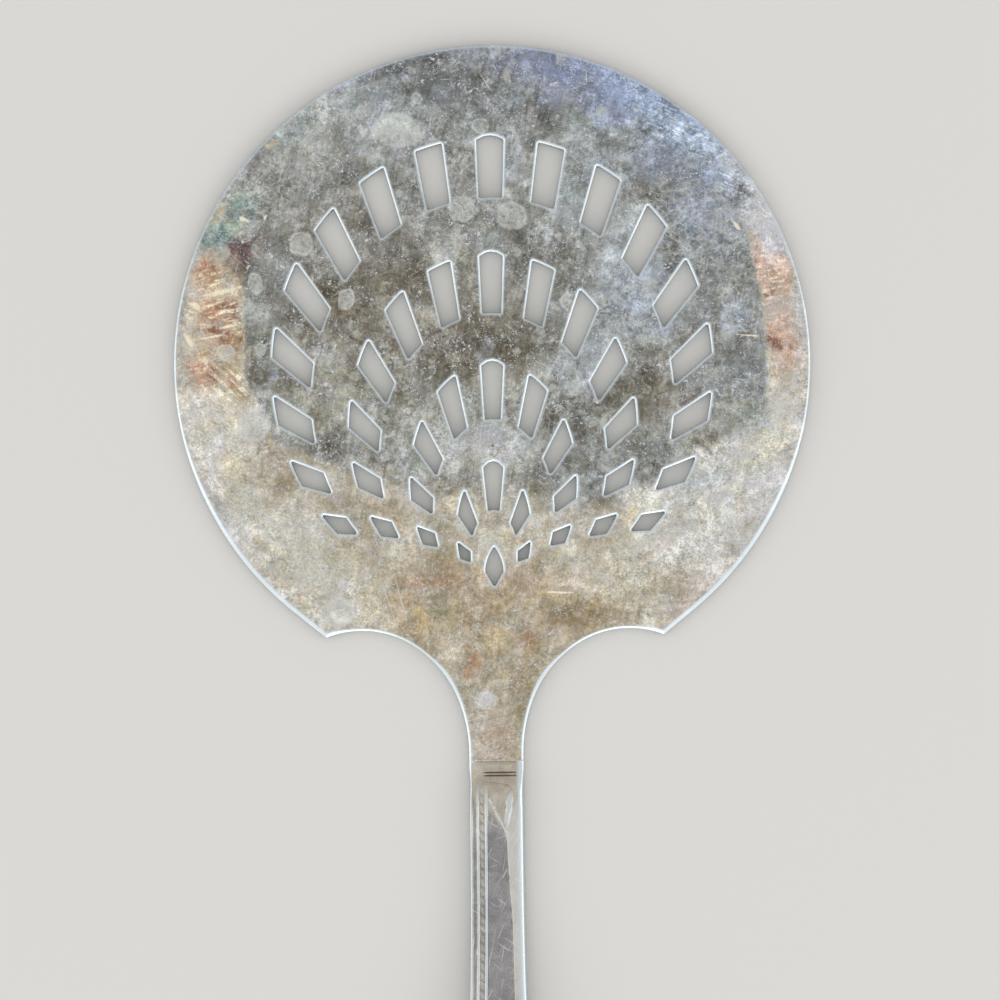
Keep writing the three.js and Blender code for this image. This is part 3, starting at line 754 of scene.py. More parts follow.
def edge_rings(ease, thickness):
    """Inset, height and wear of the rings round an edge, from the underside to the upper face."""
    rings = [(ease * inset, thickness - ease * drop, worn) for inset, drop, worn in EDGE_PROFILE]
    rings.append((ease + GUARD, thickness, 0.0))
    under = [(inset, thickness - height, wear_and_highlight) for inset, height, wear_and_highlight in reversed(rings)]
    return under + rings


def ring_faces(rings, count, first=0):
    """Faces between closed rings of points, each of the same count, from the first point on."""
    faces = []
    for start in range(first, first + (rings - 1) * count, count):
        for i in range(count):
            a = start + i
            b = start + (i + 1) % count
            faces.append((a, b, b + count, a + count))
    return faces


def blade_mesh(blade, layout):
    """Points, faces and marks of the eased plate with its piercings."""
    sides = blade_sides(blade, layout)
    holes = [leaf_outline(blade)]
    for row in PIERCING_ROWS:
        holes += [slot_outline(blade, row, index) for index in range(-row.pairs, row.pairs + 1)]
    edges = [rim_rings(blade, sides)]
    for hole in holes:
        loop = rounded_corners(hole, blade.slot_round)[::-1]
        edges.append([
            (offset_loop(loop, inset), height, worn)
            for inset, height, worn in edge_rings(blade.piercing_ease, blade.thickness)
        ])
    points, faces, wear_and_highlight, guards = [], [], [], []
    under_guard, upper_guard = [], []
    first = 0
    for rings in edges:
        count = len(rings[0][0])
        outline_y = rings[0][0][:, 1]
        facing = (outline_y - outline_y.mean()) / np.ptp(outline_y) * (2 if rings is not edges[0] else -2)
        # Painted highlight: the worn edges' bright colour is made strongest where they face the lamps on the
        # handle's side
        shine = LEAST_SHINE + ADDED_SHINE * smooth(facing, *SHINE_TURN)
        for ring, height, worn in rings:
            points.append(np.column_stack([ring, np.full(count, height)]))
            wear_and_highlight.append(worn * shine)
        faces += ring_faces(len(rings), count, first)
        guards.append(rings[-1][0])
        under_guard += range(first, first + count)
        first += len(rings) * count
        upper_guard += range(first - count, first)
    inner = face_grid(guards)
    points.append(np.column_stack([inner, np.full(len(inner), blade.thickness)]))
    wear_and_highlight.append(np.zeros(len(inner)))
    upper_guard += range(first, first + len(inner))
    for a, b, c in face_triangles(guards, inner):
        faces.append((upper_guard[a], upper_guard[b], upper_guard[c]))
    for a, b, c in face_triangles(guards, np.empty((0, 2))):
        faces.append((under_guard[c], under_guard[b], under_guard[a]))
    points = np.vstack(points)
    marks = toning_marks(points[:, 0], points[:, 1])
    marks["worn_edge_and_highlight"] = np.concatenate(wear_and_highlight)
    points[:, 1] += layout.centre_y
    return points, faces, marks


def oval_reach(x, y, oval_x, oval_y, long, wide, turn):
    """Distance from the middle of an oval, which is 1 on its edge."""
    cos, sin = math.cos(math.radians(turn)), math.sin(math.radians(turn))
    dx, dy = x - oval_x, y - oval_y
    return np.hypot((dx * cos + dy * sin) / long, (dy * cos - dx * sin) / wide)


def stirred(x, y, scale, amount):
    """The same places, pushed about by a soft noise."""
    push = np.array([
        [noise.noise((px * scale, py * scale, level)) for level in STIR_SLICES] for px, py in zip(x, y)
    ])
    return x + push[:, 0] * amount, y + push[:, 1] * amount


def film_share(x, y):
    """1 on the grey film and 0 on the bare plate. The edge is crisp at the sides and soft between them."""
    points = np.column_stack([x, y])
    away = np.full(len(x), np.inf)
    for start, end in zip(FILM_EDGE, np.roll(FILM_EDGE, -1, axis=0)):
        run = end - start
        place = np.clip((points - start) @ run / (run @ run), 0, 1)
        away = np.minimum(away, np.linalg.norm(points - start - place[:, None] * run, axis=1))
    away = np.where(inside(FILM_EDGE, points), away, -away)
    crisp, soft, soft_end, crisp_start = CRISP_EDGE
    width = soft + (crisp - soft) * smooth(np.abs(x), soft_end, crisp_start)
    return smooth(away / width, -1, 1)


def toning_marks(x, y):
    """How deep a place lies in the patches of each colour, in the leans, the tide lines and the drops."""
    spot_x, spot_y = stirred(x, y, *SPOT_STIR)
    patch_x, patch_y = x, y
    for stir in PATCH_STIRS:
        patch_x, patch_y = stirred(patch_x, patch_y, *stir)
    marks = {"film": film_share(spot_x, spot_y)}
    for name, ovals in TONING.items():
        depth = np.zeros_like(x)
        end, fade = FLAKY_FADE if name in FLAKY else SOFT_FADE
        for oval_x, oval_y, long, wide, turn, strength in ovals:
            reach = oval_reach(patch_x, patch_y, oval_x, oval_y, long, wide, turn)
            depth = np.maximum(depth, strength * np.clip((end - reach) / fade, 0, 1))
        if name in OFF_THE_FILM:
            depth = depth * (1 - marks["film"])
        if name in ON_THE_FILM:
            depth = depth * marks["film"]
        marks[name] = depth
    lean = np.zeros_like(x)
    for *oval, strength in LEANS:
        lean += strength * ridge(oval_reach(patch_x, patch_y, *oval), LEAN_FADE)
    marks["lean"] = np.clip(lean, -1, 1)
    rim_start, rim_full, rim_strength = RIM_BAND
    rim_band = rim_strength * smooth(np.hypot(patch_x, patch_y), rim_start, rim_full)
    rim_band = rim_band * smooth(y, *RIM_BAND_END)
    marks["lilac"] = np.maximum(marks["lilac"], rim_band)
    tides = [oval_reach(patch_x, patch_y, *oval) for oval in TIDE_LINES]
    marks["tide"] = 1 - smooth(np.min(tides, axis=0), *TIDE_FADE)
    spots = [oval_reach(spot_x, spot_y, *spot) for spot in WATER_SPOTS]
    marks["water_spot"] = np.min(spots, axis=0)
    return marks


def seam_mesh(blade, layout):
    """Points and faces of an eased strip as wide as the neck, from which the seam is cut."""
    half = blade.neck_width / 2
    front = layout.collar_y + SEAM_SPARE
    back = layout.tongue_end_y - SEAM_SPARE
    loop = np.array([(half, back), (half, front), (-half, front), (-half, back)])
    count = len(loop)
    points, wear_and_highlight = [], []
    rings = edge_rings(blade.fine_ease, blade.thickness)
    for inset, height, worn in rings:
        points.append(np.column_stack([offset_loop(loop, inset), np.full(count, height)]))
        wear_and_highlight.append(np.full(count, worn))
    points = np.vstack(points)
    faces = [tuple(range(count))[::-1], tuple(range(len(points) - count, len(points)))]
    faces += ring_faces(len(rings), count)
    points[:, 1] += layout.centre_y
    return points, faces, {"worn_edge_and_highlight": np.concatenate(wear_and_highlight)}


# Handle

# Height of the border over the collar's level, by distance from the handle's edge, in millimetres
BORDER_PROFILE = np.array([
    (0.00, -0.30), (0.015, -0.22), (0.05, -0.14), (0.10, -0.075), (0.17, -0.02), (0.25, 0.00),
    (0.33, -0.03), (0.42, -0.10), (0.52, -0.14), (0.62, -0.15), (0.72, -0.14), (0.82, -0.11), (0.90, -0.06),
    (0.97, 0.00), (1.06, 0.03), (1.15, 0.00), (1.22, -0.08), (1.28, -0.13), (1.37, -0.14), (1.46, -0.14),
    (1.55, -0.14), (1.64, -0.14), (1.73, -0.14), (1.82, -0.13), (1.90, -0.07), (1.98, 0.00), (2.06, 0.03),
    (2.14, 0.03), (2.22, 0.00), (2.30, 0.00), (2.36, 0.00), (2.42, 0.00),
])
# Leaves of the border: how far their line lies from the edge, half their width, and their slant
LEAF_BAND = 1.55
LEAF_BAND_HALF = 0.3
LEAF_SLANT = 0.9
# Part of the pitch that a leaf fills, and its vein's depth and width as parts of its height and half pitch
LEAF_FILL = 0.8
VEIN_DEPTH = 0.5
VEIN_WIDTH = 0.12
# Slope from the border to the panel, by distance from the edge
LIP = (2.18, 2.40)
# Stations between which the border comes up behind the collar
BORDER_FADE = (2.2, 6.4)
# The worn border's inner edge moves outwards behind the collar: where it starts, where it ends, and how far
WORN_LIP = (9.0, 22.0, 0.6)
# Relief that is left on the worn side, and the stations between which it comes back
WORN_SIDE = (0.22, 28.0, 62.0)
# Stations between which the worn side's rounding grows, and the neck's edge turns into the handle's
WORN_EASE_GROWS = (0.0, 6.0)
NECK_EDGE_FADE = (0.2, 4.0)

# Collar engraving: stations from the collar and places across it, in millimetres
COLLAR_LINES = (1.25, 1.62)
COLLAR_LINE_WIDTH = 0.085
COLLAR_LINE_DEPTH = 0.2
COLLAR_LINE_SPAN = (-2.4, -1.0, 2.3, 2.75)
ARCH_WIDTH = 0.1
# The upper arch slants through a station at one place, and the lower one bends away right of its place
UPPER_ARCH = (2.32, -1.3)
UPPER_ARCH_SLANT = 0.15
UPPER_ARCH_DEPTH = 0.09
UPPER_ARCH_SPAN = (-1.6, -1.2, 1.5, 1.9)
LOWER_ARCH = (2.86, 1.25)
LOWER_ARCH_BEND = 0.9
LOWER_ARCH_DEPTH = 0.08
LOWER_ARCH_SPAN = (0.4, 0.9, 1.9, 2.15)
FLUTE_PITCH = 0.52
FLUTE_HEIGHT = 0.05
FLUTE_LEAN = 0.1
FLUTE_START = 3
FLUTE_STATIONS = (2.9, 3.4, 5.6, 7.2)
FLUTE_SPAN = (-1.2, -0.8, 1.1, 1.4)
# Leaf beside the flutes: middle, half its length and width, height, and the cosine and sine of its slant
COLLAR_LEAF = (5.75, 1.45)
COLLAR_LEAF_HALVES = (2.5, 0.42)
COLLAR_LEAF_HEIGHT = 0.16
COLLAR_LEAF_SLANT = (0.988, 0.157)
# Cuts and ridges stop short of the handle's edge
ENGRAVED_MARGIN = (0.3, 0.6)

# Slanting cut at the panel's point: place across and station of its two ends
PANEL_CUT = ((-1.05, 4.4), (1.35, 9.4))
# Slope of the panel's side at the cut, and how far before the cut the panel starts to sink
CUT_SLOPE = (-0.05, 0.5)
PANEL_LEAD = 0.3
# Ridge along the cut: distance from it, width, height, start about the first end and fade before the last
CUT_RIDGE_OFFSET = 0.08
CUT_RIDGE_WIDTH = 0.12
CUT_RIDGE_HEIGHT = 0.16
CUT_RIDGE_START = (-0.2, 0.4)
CUT_RIDGE_FADE = 1

# A point's rise is 0 on the underside, up to 1 on the wall, and 2 on the struck upper side
UNDERSIDE = 0
UPPER_SIDE = 2
UNDERSIDE_PLACES = (0.0, 0.5)

# Wear of the handle, partly painted highlight: heights at which ridges and cut edges are painted bright, and
# how much
RIDGE_TOPS = (-0.05, 0.02)
RIDGE_SHINE = 0.85
CUT_TOPS = (0.05, 0.12)
CUT_SHINE = 0.8
DULL_LIP = 0.1
FULL_EDGE = 0.3
# Edge and border of the worn side, worn smooth and painted bright as a highlight: distances from the edge,
# stations and places across
SMOOTH_EDGE = (0.5, 1.1)
SMOOTH_STATIONS = (4, 9)
SMOOTH_PLACES = (0.6, 1.4)
# Dirt in the grooves, by their depth, and a darker band along the seam
GROOVE_DEPTHS = (0.04, 0.13)
SEAM_DARKENING = 0.7
SEAM_DARKENING_STATIONS = (0.1, 0.5)
SEAM_DARKENING_SPAN = (-2.2, -0.8, 2.2, 2.8)


def collar_relief(station, x):
    """Lines, arches, flutes and leaf that are struck between the collar and the panel."""
    height = np.zeros_like(station)
    for line in COLLAR_LINES:
        height -= COLLAR_LINE_DEPTH * ridge(station - line, COLLAR_LINE_WIDTH) * window(x, *COLLAR_LINE_SPAN)
    arch_station, arch_place = UPPER_ARCH
    arch = arch_station + UPPER_ARCH_SLANT * (x - arch_place)
    height -= UPPER_ARCH_DEPTH * ridge(station - arch, ARCH_WIDTH) * window(x, *UPPER_ARCH_SPAN)
    arch_station, arch_place = LOWER_ARCH
    arch = arch_station + LOWER_ARCH_BEND * np.maximum(0, x - arch_place) ** 2
    height -= LOWER_ARCH_DEPTH * ridge(station - arch, ARCH_WIDTH) * window(x, *LOWER_ARCH_SPAN)
    flute_zone = window(station, *FLUTE_STATIONS) * window(x, *FLUTE_SPAN)
    flute_place = x - FLUTE_LEAN * (station - FLUTE_START)
    height += FLUTE_HEIGHT * flute_zone * np.cos(2 * math.pi * flute_place / FLUTE_PITCH)
    from_station = station - COLLAR_LEAF[0]
    from_place = x - COLLAR_LEAF[1]
    cos, sin = COLLAR_LEAF_SLANT
    along = (from_station * cos - from_place * sin) / COLLAR_LEAF_HALVES[0]
    across = (from_station * sin + from_place * cos) / COLLAR_LEAF_HALVES[1]
    return height + COLLAR_LEAF_HEIGHT * np.sqrt(np.clip(1 - along ** 2 - across ** 2, 0, None))


def panel_share(station, x):
    """How deep a place lies in the panel, which starts at a slanting cut, and how near to its ridge."""
    (first_x, first), (last_x, last) = PANEL_CUT
    cut = first_x + (station - first) * (last_x - first_x) / (last - first)
    in_panel = smooth(cut - x, *CUT_SLOPE) * smooth(station, first - PANEL_LEAD, last)
    start, full = CUT_RIDGE_START
    near_cut = ridge(x - cut - CUT_RIDGE_OFFSET, CUT_RIDGE_WIDTH)
    near_cut = near_cut * window(station, first + start, first + full, last - CUT_RIDGE_FADE, last)
    return in_panel, near_cut


def handle_grid(handle, blade, layout):
    """Places on the handle. A row of each array runs once round it, and a column runs along it."""
    neck_half = blade.neck_width / 2
    widest_half = handle.width / 2
    total = layout.root_y - CAD_BOX[0].y / MM
    tail_start = total - handle.tail_length
    rise_start = blade.lap_length + blade.solder_thickness + handle.rise_after_lap

    def half_width(station):
        travel = np.clip((station - handle.flare_start) / (tail_start - handle.flare_start), 0, 1)
        return neck_half + (widest_half - neck_half) * smooth(travel ** handle.flare_delay, 0, 1)

    def underside(station):
        run = total - rise_start
        travel = np.clip((station - rise_start) / run, 0, None)
        dip = -math.tan(handle.tail_slope) * run
        return handle.tail_rise * (3 * travel ** 2 - 2 * travel ** 3) + dip * (travel ** 3 - travel ** 2)

    def thickness(station):
        full = handle.root_thickness + (handle.tail_thickness - handle.root_thickness) * station / total
        return blade.thickness + (full - blade.thickness) * smooth(station, 0, handle.collar_ramp)

    dense_end = PANEL_CUT[1][1]
    straight = np.concatenate([
        np.arange(0, dense_end, COLLAR_ROW_STEP), np.arange(dense_end, tail_start, HANDLE_ROW_STEP)
    ])
    slope = np.gradient(half_width(straight), straight)
    turn = np.linspace(0, math.pi / 2, TAIL_ROWS + 1)
    edge_x = np.concatenate([half_width(straight), widest_half * np.cos(turn)])
    edge_station = np.concatenate([straight, tail_start + handle.tail_length * np.sin(turn)])
    run_x = np.concatenate([slope, -widest_half * np.sin(turn)])
    run_station = np.concatenate([np.ones_like(straight), handle.tail_length * np.cos(turn)])
    size = np.hypot(run_x, run_station)
    in_x, in_station = -run_station / size, run_x / size
    along = np.concatenate([[0], np.cumsum(np.hypot(np.diff(edge_x), np.diff(edge_station)))])

    def column(inset, across, rise):
        """One line of points along the handle. Across is a share of the place at the inset."""
        x = np.maximum(edge_x + in_x * inset, 0) * across
        return x, edge_station + in_station * inset, np.full_like(x, inset), np.full_like(x, rise)

    columns = [column(handle.edge_ease, across, UNDERSIDE) for across in UNDERSIDE_PLACES]
    for lift in np.linspace(0, math.pi / 2, EASE_STEPS + 1):
        columns.append(column(handle.edge_ease * (1 - math.sin(lift)), 1.0, 1 - math.cos(lift)))
    columns += [column(inset, 1.0, UPPER_SIDE) for inset in BORDER_PROFILE[:, 0]]
    for across in np.linspace(1, 0, PANEL_COLUMNS)[1:]:
        columns.append(column(handle.border_width, across, UPPER_SIDE))
    x, station, inset, rise = (np.stack(part, axis=1) for part in zip(*columns))
    x = np.hstack([x, -x[:, -2:0:-1]])
    station, inset, rise = (np.hstack([part, part[:, -2:0:-1]]) for part in (station, inset, rise))
    low = underside(station)
    return SimpleNamespace(
        x=x,
        station=station,
        inset=inset,
        rise=rise,
        along=np.repeat(along[:, None], x.shape[1], axis=1),
        low=low,
        high=low + thickness(station),
        upper=rise == UPPER_SIDE,
    )


def struck_face(handle, blade, grid):
    """Heights of the border, the panel and the engraving over the handle's plain level."""
    x, station, inset = grid.x, grid.station, grid.inset
    ease = handle.edge_ease
    right = x > 0
    round_off = np.where(right, ease + (handle.worn_ease - ease) * smooth(station, *WORN_EASE_GROWS), ease)
    eased = np.minimum(inset, round_off)
    plain = np.sqrt(np.maximum(round_off ** 2 - (round_off - eased) ** 2, 0)) - round_off
    neck_insets, neck_drops = np.transpose(EDGE_PROFILE)[:2] * blade.fine_ease
    like_neck = -np.interp(inset, neck_insets, neck_drops)
    plain = like_neck + (plain - like_neck) * smooth(station, *NECK_EDGE_FADE)
    struck = np.interp(inset, BORDER_PROFILE[:, 0], BORDER_PROFILE[:, 1])
    slanted = grid.along - (inset - LEAF_BAND) * LEAF_SLANT
    beat = (slanted / handle.leaf_pitch - np.round(slanted / handle.leaf_pitch)) * 2
    lens = np.clip(1 - (beat / LEAF_FILL) ** 2 - ((inset - LEAF_BAND) / LEAF_BAND_HALF) ** 2, 0, None)
    leaves = handle.leaf_height * np.sqrt(lens) * (1 - VEIN_DEPTH * ridge(beat, VEIN_WIDTH))
    left_over, wear_start, wear_end = WORN_SIDE
    unworn = smooth(station, wear_start, wear_end)
    crisp = np.where(right, left_over + (1 - left_over) * unworn, 1.0)
    crisp = crisp * smooth(station, *BORDER_FADE)
    in_panel, near_cut = panel_share(station, x)
    lip_start, lip_end, lip_move = WORN_LIP
    lip_shift = np.where(right, lip_move * smooth(station, lip_start, lip_end) * (1 - unworn), 0)
    sunk = in_panel * smooth(inset + lip_shift, *LIP)
    relief = plain + (struck + leaves - plain) * crisp - handle.panel_recess * sunk
    engraved = collar_relief(station, x) * (1 - sunk) + CUT_RIDGE_HEIGHT * near_cut
    engraved = engraved * smooth(inset, *ENGRAVED_MARGIN)
    return SimpleNamespace(relief=relief, engraved=engraved, crisp=crisp, sunk=sunk)


def handle_marks(handle, grid, face):
    """Wear and dirt of the handle, with painted highlight on its ridges, cut edges and worn side, for its
    finish.
    """
    x, station, inset, upper = grid.x, grid.station, grid.inset, grid.upper
    on_border = inset < handle.border_width - DULL_LIP
    raised = np.where(upper, smooth(face.relief + face.engraved, *RIDGE_TOPS) * on_border, 1.0)
    cut_edges = CUT_SHINE * smooth(face.engraved, *CUT_TOPS)
    on_ridges = np.maximum(raised * np.clip(face.crisp * 2, 0, 1), cut_edges)
    smooth_edge_highlight = np.where(x > 0, 1 - smooth(inset, *SMOOTH_EDGE), 0.0)
    smooth_border_highlight = (1 - face.crisp) * smooth(station, *SMOOTH_STATIONS) * smooth(x, *SMOOTH_PLACES)
    smooth_border_highlight = smooth_border_highlight * (1 - face.sunk)
    seam_band = SEAM_DARKENING * (1 - smooth(station, *SEAM_DARKENING_STATIONS)) * window(x, *SEAM_DARKENING_SPAN)
    in_grooves = np.where(inset > FULL_EDGE, smooth(-face.relief - face.engraved, *GROOVE_DEPTHS), 0.0)
    in_grooves = in_grooves * (1 - face.sunk)
    return {
        "worn_edge_and_highlight": np.where(inset < FULL_EDGE, 1.0, np.maximum(RIDGE_SHINE * on_ridges, smooth_edge_highlight)),
        "recess": np.where(upper, np.maximum(in_grooves, seam_band), 0.0),
        "panel": np.where(upper, face.sunk, 0.0),
        "smooth_border_highlight": np.where(upper, smooth_border_highlight, 0.0),
    }


def handle_mesh(handle, blade, layout):
    """Points, faces and marks of the struck handle, lofted along lines that follow its edge."""
    grid = handle_grid(handle, blade, layout)
    face = struck_face(handle, blade, grid)
    wall = grid.low + grid.rise * handle.edge_ease
    z = np.where(grid.upper, grid.high + face.relief + face.engraved, wall)
    points = np.stack([grid.x, layout.root_y - grid.station, z], axis=2).reshape(-1, 3)
    rows, count = grid.x.shape
    faces = ring_faces(rows, count)
    faces.append(tuple(range(count))[::-1])
    marks = handle_marks(handle, grid, face)
    return points, faces, {name: values.ravel() for name, values in marks.items()}


# Meshes into pieces

def make_piece(name, points, faces, marks):
    """A smooth object from points in millimetres, with its marks as attributes of the points."""
    mesh = bpy.data.meshes.new(name)
    mesh.from_pydata((points * MM).tolist(), [], faces)
    for mark, values in marks.items():
        mesh.attributes.new(mark, "FLOAT", "POINT").data.foreach_set("value", values.astype(np.float32))
    work = bmesh.new()
    work.from_mesh(mesh)
    bmesh.ops.remove_doubles(work, verts=work.verts, dist=WELD_GAP * MM)
    bmesh.ops.recalc_face_normals(work, faces=work.faces)
    work.to_mesh(mesh)
    work.free()
    mesh.shade_smooth()
    piece = bpy.data.objects.new(name, mesh)
    bpy.context.scene.collection.objects.link(piece)
    return piece


def cut_away(piece, low, high):
    """Cuts the room for the lap out of a piece. The corners are in millimetres."""
    low, high = np.array(low) * MM, np.array(high) * MM
    mesh = bpy.data.meshes.new("lap_cut")
    work = bmesh.new()
    bmesh.ops.create_cube(work, size=1.0)
    for vertex in work.verts:
        vertex.co = Vector((low + high) / 2 + np.array(vertex.co) * (high - low))
    work.to_mesh(mesh)
    work.free()
    cutter = bpy.data.objects.new("lap_cut", mesh)
    bpy.context.scene.collection.objects.link(cutter)
    cut = piece.modifiers.new("lap", "BOOLEAN")
    cut.object = cutter
    cut.operation = "DIFFERENCE"
    cut.solver = "EXACT"
    depsgraph = bpy.context.evaluated_depsgraph_get()
    whole = piece.data
    piece.data = bpy.data.meshes.new_from_object(piece.evaluated_get(depsgraph))
    piece.data.name = piece.name
    piece.modifiers.clear()
    bpy.data.objects.remove(cutter)
    bpy.data.meshes.remove(mesh)
    bpy.data.meshes.remove(whole)
    if not piece.data.polygons:
        raise RuntimeError(f"the lap cut left nothing of {piece.name}")


def dress(piece, upper, under):
    """Gives the faces that look down their own finish."""
    piece.data.materials.clear()
    piece.data.materials.append(upper)
    piece.data.materials.append(under)
    piece.data.set_sharp_from_angle(angle=SHARP_ANGLE)
    for polygon in piece.data.polygons:
        polygon.material_index = 1 if polygon.normal.z < DOWNWARD else 0


# Finishes

# Patterns: a noise has a scale, detail, roughness and swirl. Hair scratches have a turn, stretch and scale,
# the noise levels between which they come up, and a strength
Noise = namedtuple("Noise", "scale detail roughness swirl", defaults=(3.0, 0.6, 0.0))
Hairs = namedtuple("Hairs", "turn stretch scale low high strength")
HAIR_DETAIL = 1.0
NOISE_MIDDLE = 0.5
CHANNELS = 3
# Dots of many sizes: the power that makes large ones rare, and the softness of their edge
SPECK_RARITY = 3.0
SPECK_EDGE = (0.0, 0.05)


class Finish:
    """Wires the nodes of one material. Places on it are in millimetres from the blade's centre.

    Each value is wired shortly before it is used, because the renderer can hold only so many at a time.
    """

    def __init__(self, name, centre_y):
        self.material = bpy.data.materials.new(name)
        self.material.use_nodes = True
        self.tree = self.material.node_tree
        self.tree.nodes.clear()
        at = self.node("ShaderNodeTexCoord", {}).outputs["Object"]
        self.at = self.vector("MULTIPLY_ADD", at, (1 / MM, 1 / MM, 0), (0, -centre_y, 0))

    def node(self, kind, inputs, **settings):
        """Adds a node, whose inputs are links or plain values."""
        made = self.tree.nodes.new(kind)
        for name, value in settings.items():
            setattr(made, name, value)
        for socket, value in inputs.items():
            if isinstance(value, bpy.types.NodeSocket):
                self.tree.links.new(value, made.inputs[socket])
            else:
                made.inputs[socket].default_value = value
        return made

    def math(self, operation, first, second=0.0):
        return self.node("ShaderNodeMath", {0: first, 1: second}, operation=operation).outputs[0]

    def gather(self, operation, values):
        """Joins values with one operation, each as soon as it is wired."""
        return functools.reduce(lambda first, second: self.math(operation, first, second), values)

    def times(self, *values):
        return self.gather("MULTIPLY", values)

    def sum(self, values, shares):
        """Adds up values, each with its share."""
        return self.gather("ADD", (self.times(value, part) for value, part in zip(values, shares)))

    def centred(self, value):
        """A noise about 0."""
        return self.math("SUBTRACT", value, NOISE_MIDDLE)

    def vector(self, operation, first, second=(0, 0, 0), third=(0, 0, 0)):
        made = self.node("ShaderNodeVectorMath", {0: first, 1: second}, operation=operation)
        if operation == "MULTIPLY_ADD":
            made.inputs[2].default_value = third
        return made.outputs["Value" if operation == "LENGTH" else "Vector"]

    def tinted(self, colour, tint):
        return self.vector("MULTIPLY", colour, tint)

    def shifted(self, shift):
        """The places, moved so that a noise there differs from the others."""
        return self.vector("ADD", self.at, shift)

    def ramp(self, value, low, high, bottom=0.0, top=1.0):
        """Goes from bottom to top with a soft start and end."""
        return self.node(
            "ShaderNodeMapRange",
            {0: value, 1: low, 2: high, 3: bottom, 4: top},
            interpolation_type="SMOOTHSTEP",
        ).outputs[0]

    def slide(self, value, low, high):
        """Goes from 0 to 1 in a straight line."""
        return self.node("ShaderNodeMapRange", {0: value, 1: low, 2: high}).outputs[0]

    def noise(self, pattern, at=None, colour=False):
        made = self.node(
            "ShaderNodeTexNoise",
            {
                "Vector": self.at if at is None else at, "Scale": pattern.scale, "Detail": pattern.detail,
                "Roughness": pattern.roughness, "Distortion": pattern.swirl,
            },
        )
        return made.outputs["Color" if colour else "Fac"]

    def parts(self, colour):
        """The channels of a coloured noise, as three plain noises."""
        return self.node("ShaderNodeSeparateColor", {0: colour}).outputs

    def mix(self, amount, first, second):
        made = self.node("ShaderNodeMix", {0: amount, 6: first, 7: second}, data_type="RGBA")
        return made.outputs[2]

    def mark(self, name):
        """A mark that the mesh carries at its points."""
        return self.node("ShaderNodeAttribute", {}, attribute_name=name).outputs["Fac"]

    def place(self, axis):
        return self.node("ShaderNodeSeparateXYZ", {0: self.at}).outputs[axis]

    def reach(self, x, y, half_length, half_width, turn):
        """Distance from the middle of a slim oval, which is 1 on its edge."""
        local = self.node(
            "ShaderNodeMapping",
            {
                "Vector": self.at, "Location": (x, y, 0), "Rotation": (0, 0, math.radians(turn)),
                "Scale": (half_length, half_width, 1),
            },
            vector_type="TEXTURE",
        ).outputs[0]
        return self.vector("LENGTH", local)

    def hairs(self, hairs):
        """Fine parallel scratches, drawn as long thin noise."""
        local = self.node(
            "ShaderNodeMapping",
            {"Vector": self.at, "Rotation": (0, 0, math.radians(hairs.turn)), "Scale": (hairs.stretch, 1, 1)},
            vector_type="TEXTURE",
        ).outputs[0]
        return self.ramp(
            self.noise(Noise(hairs.scale, HAIR_DETAIL), local), hairs.low, hairs.high, 0.0, hairs.strength
        )

    def specks(self, at, scale, size):
        """Scattered round dots of many sizes."""
        cells = self.node("ShaderNodeTexVoronoi", {"Vector": at, "Scale": scale})
        chance = self.parts(cells.outputs["Color"])[0]
        radius = self.times(self.math("POWER", chance, SPECK_RARITY), size)
        gap = self.math("SUBTRACT", radius, cells.outputs["Distance"])
        return self.ramp(gap, *SPECK_EDGE)

    def finish(self, colour, roughness, height, depth):
        """Ends the material in one metal shader, with a bump of the depth in millimetres."""
        bump = self.node("ShaderNodeBump", {"Strength": 1.0, "Distance": depth * MM, "Height": height})
        shader = self.node(
            "ShaderNodeBsdfPrincipled",
            {"Base Color": colour, "Roughness": roughness, "Metallic": 1.0, "Normal": bump.outputs[0]},
        )
        output = self.node("ShaderNodeOutputMaterial", {})
        self.tree.links.new(shader.outputs[0], output.inputs[0])
        return self.material


# Ramps below give the two levels that a value runs between, and the results at these. Shares weigh the noises

# Plate in general: strength of bright worn edges with their painted highlight, roughness by shade, and the
# bump's depth in millimetres
WORN_EDGE_AND_HIGHLIGHT_STRENGTH = 0.9
PLATE_ROUGHNESS = (0.0, 1.0, 0.5, 0.4)
PLATE_BUMP = 0.012
# Serving face: noises, and the shade of the film and the bare plate
BROAD_NOISE = Noise(0.38, 5.0, 0.65, 1.2)
FINE_NOISE = Noise(1.4, 4.0, 0.65, 0.8)
CLOUD_NOISE = Noise(0.12)
GRAIN_NOISE = Noise(3.4, 3.0, 0.85)
WEATHER_NOISE = Noise(0.6, 5.5, 0.9, 0.1)
BRUSH = Hairs(78, 8, 2.2, 0.25, 0.75, 1.0)
SHADE_SHARES = (1.7, 0.6, 0.7, 0.12)
SHADE_RANGE = (1.13, 2.05)
# How a colour breaks up: shares of the broad, fine and grain noise, the level they stop at, and the ramp
BreakUp = namedtuple("BreakUp", "shares stop ramp")
FLAKY_BREAK_UP = BreakUp((1.0, 2.6, 1.4), 1.85, (0.14, 0.6, 0.0, 0.85))
SOFT_BREAK_UP = BreakUp((1.4, 1.2, 0.7), 1.0, (0.05, 0.85, 0.0, 0.85))
STREAK_LEVELS = (0.48, 0.6, 1.0)
# Broad cast of colour over all, and the tints that the toning leans to
CAST_SPREAD = (0.16, 0.16, 0.16)
CAST_FLOOR = (0.92, 0.92, 0.92)
LEAN_SHARES = (0.5, 0.5, 0.7)
LEAN_RANGE = (0.13, 1.13)
WARM_LEAN = (1.12, 1.0, 0.78, 1.0)
COOL_LEAN = (0.84, 0.98, 1.24, 1.0)
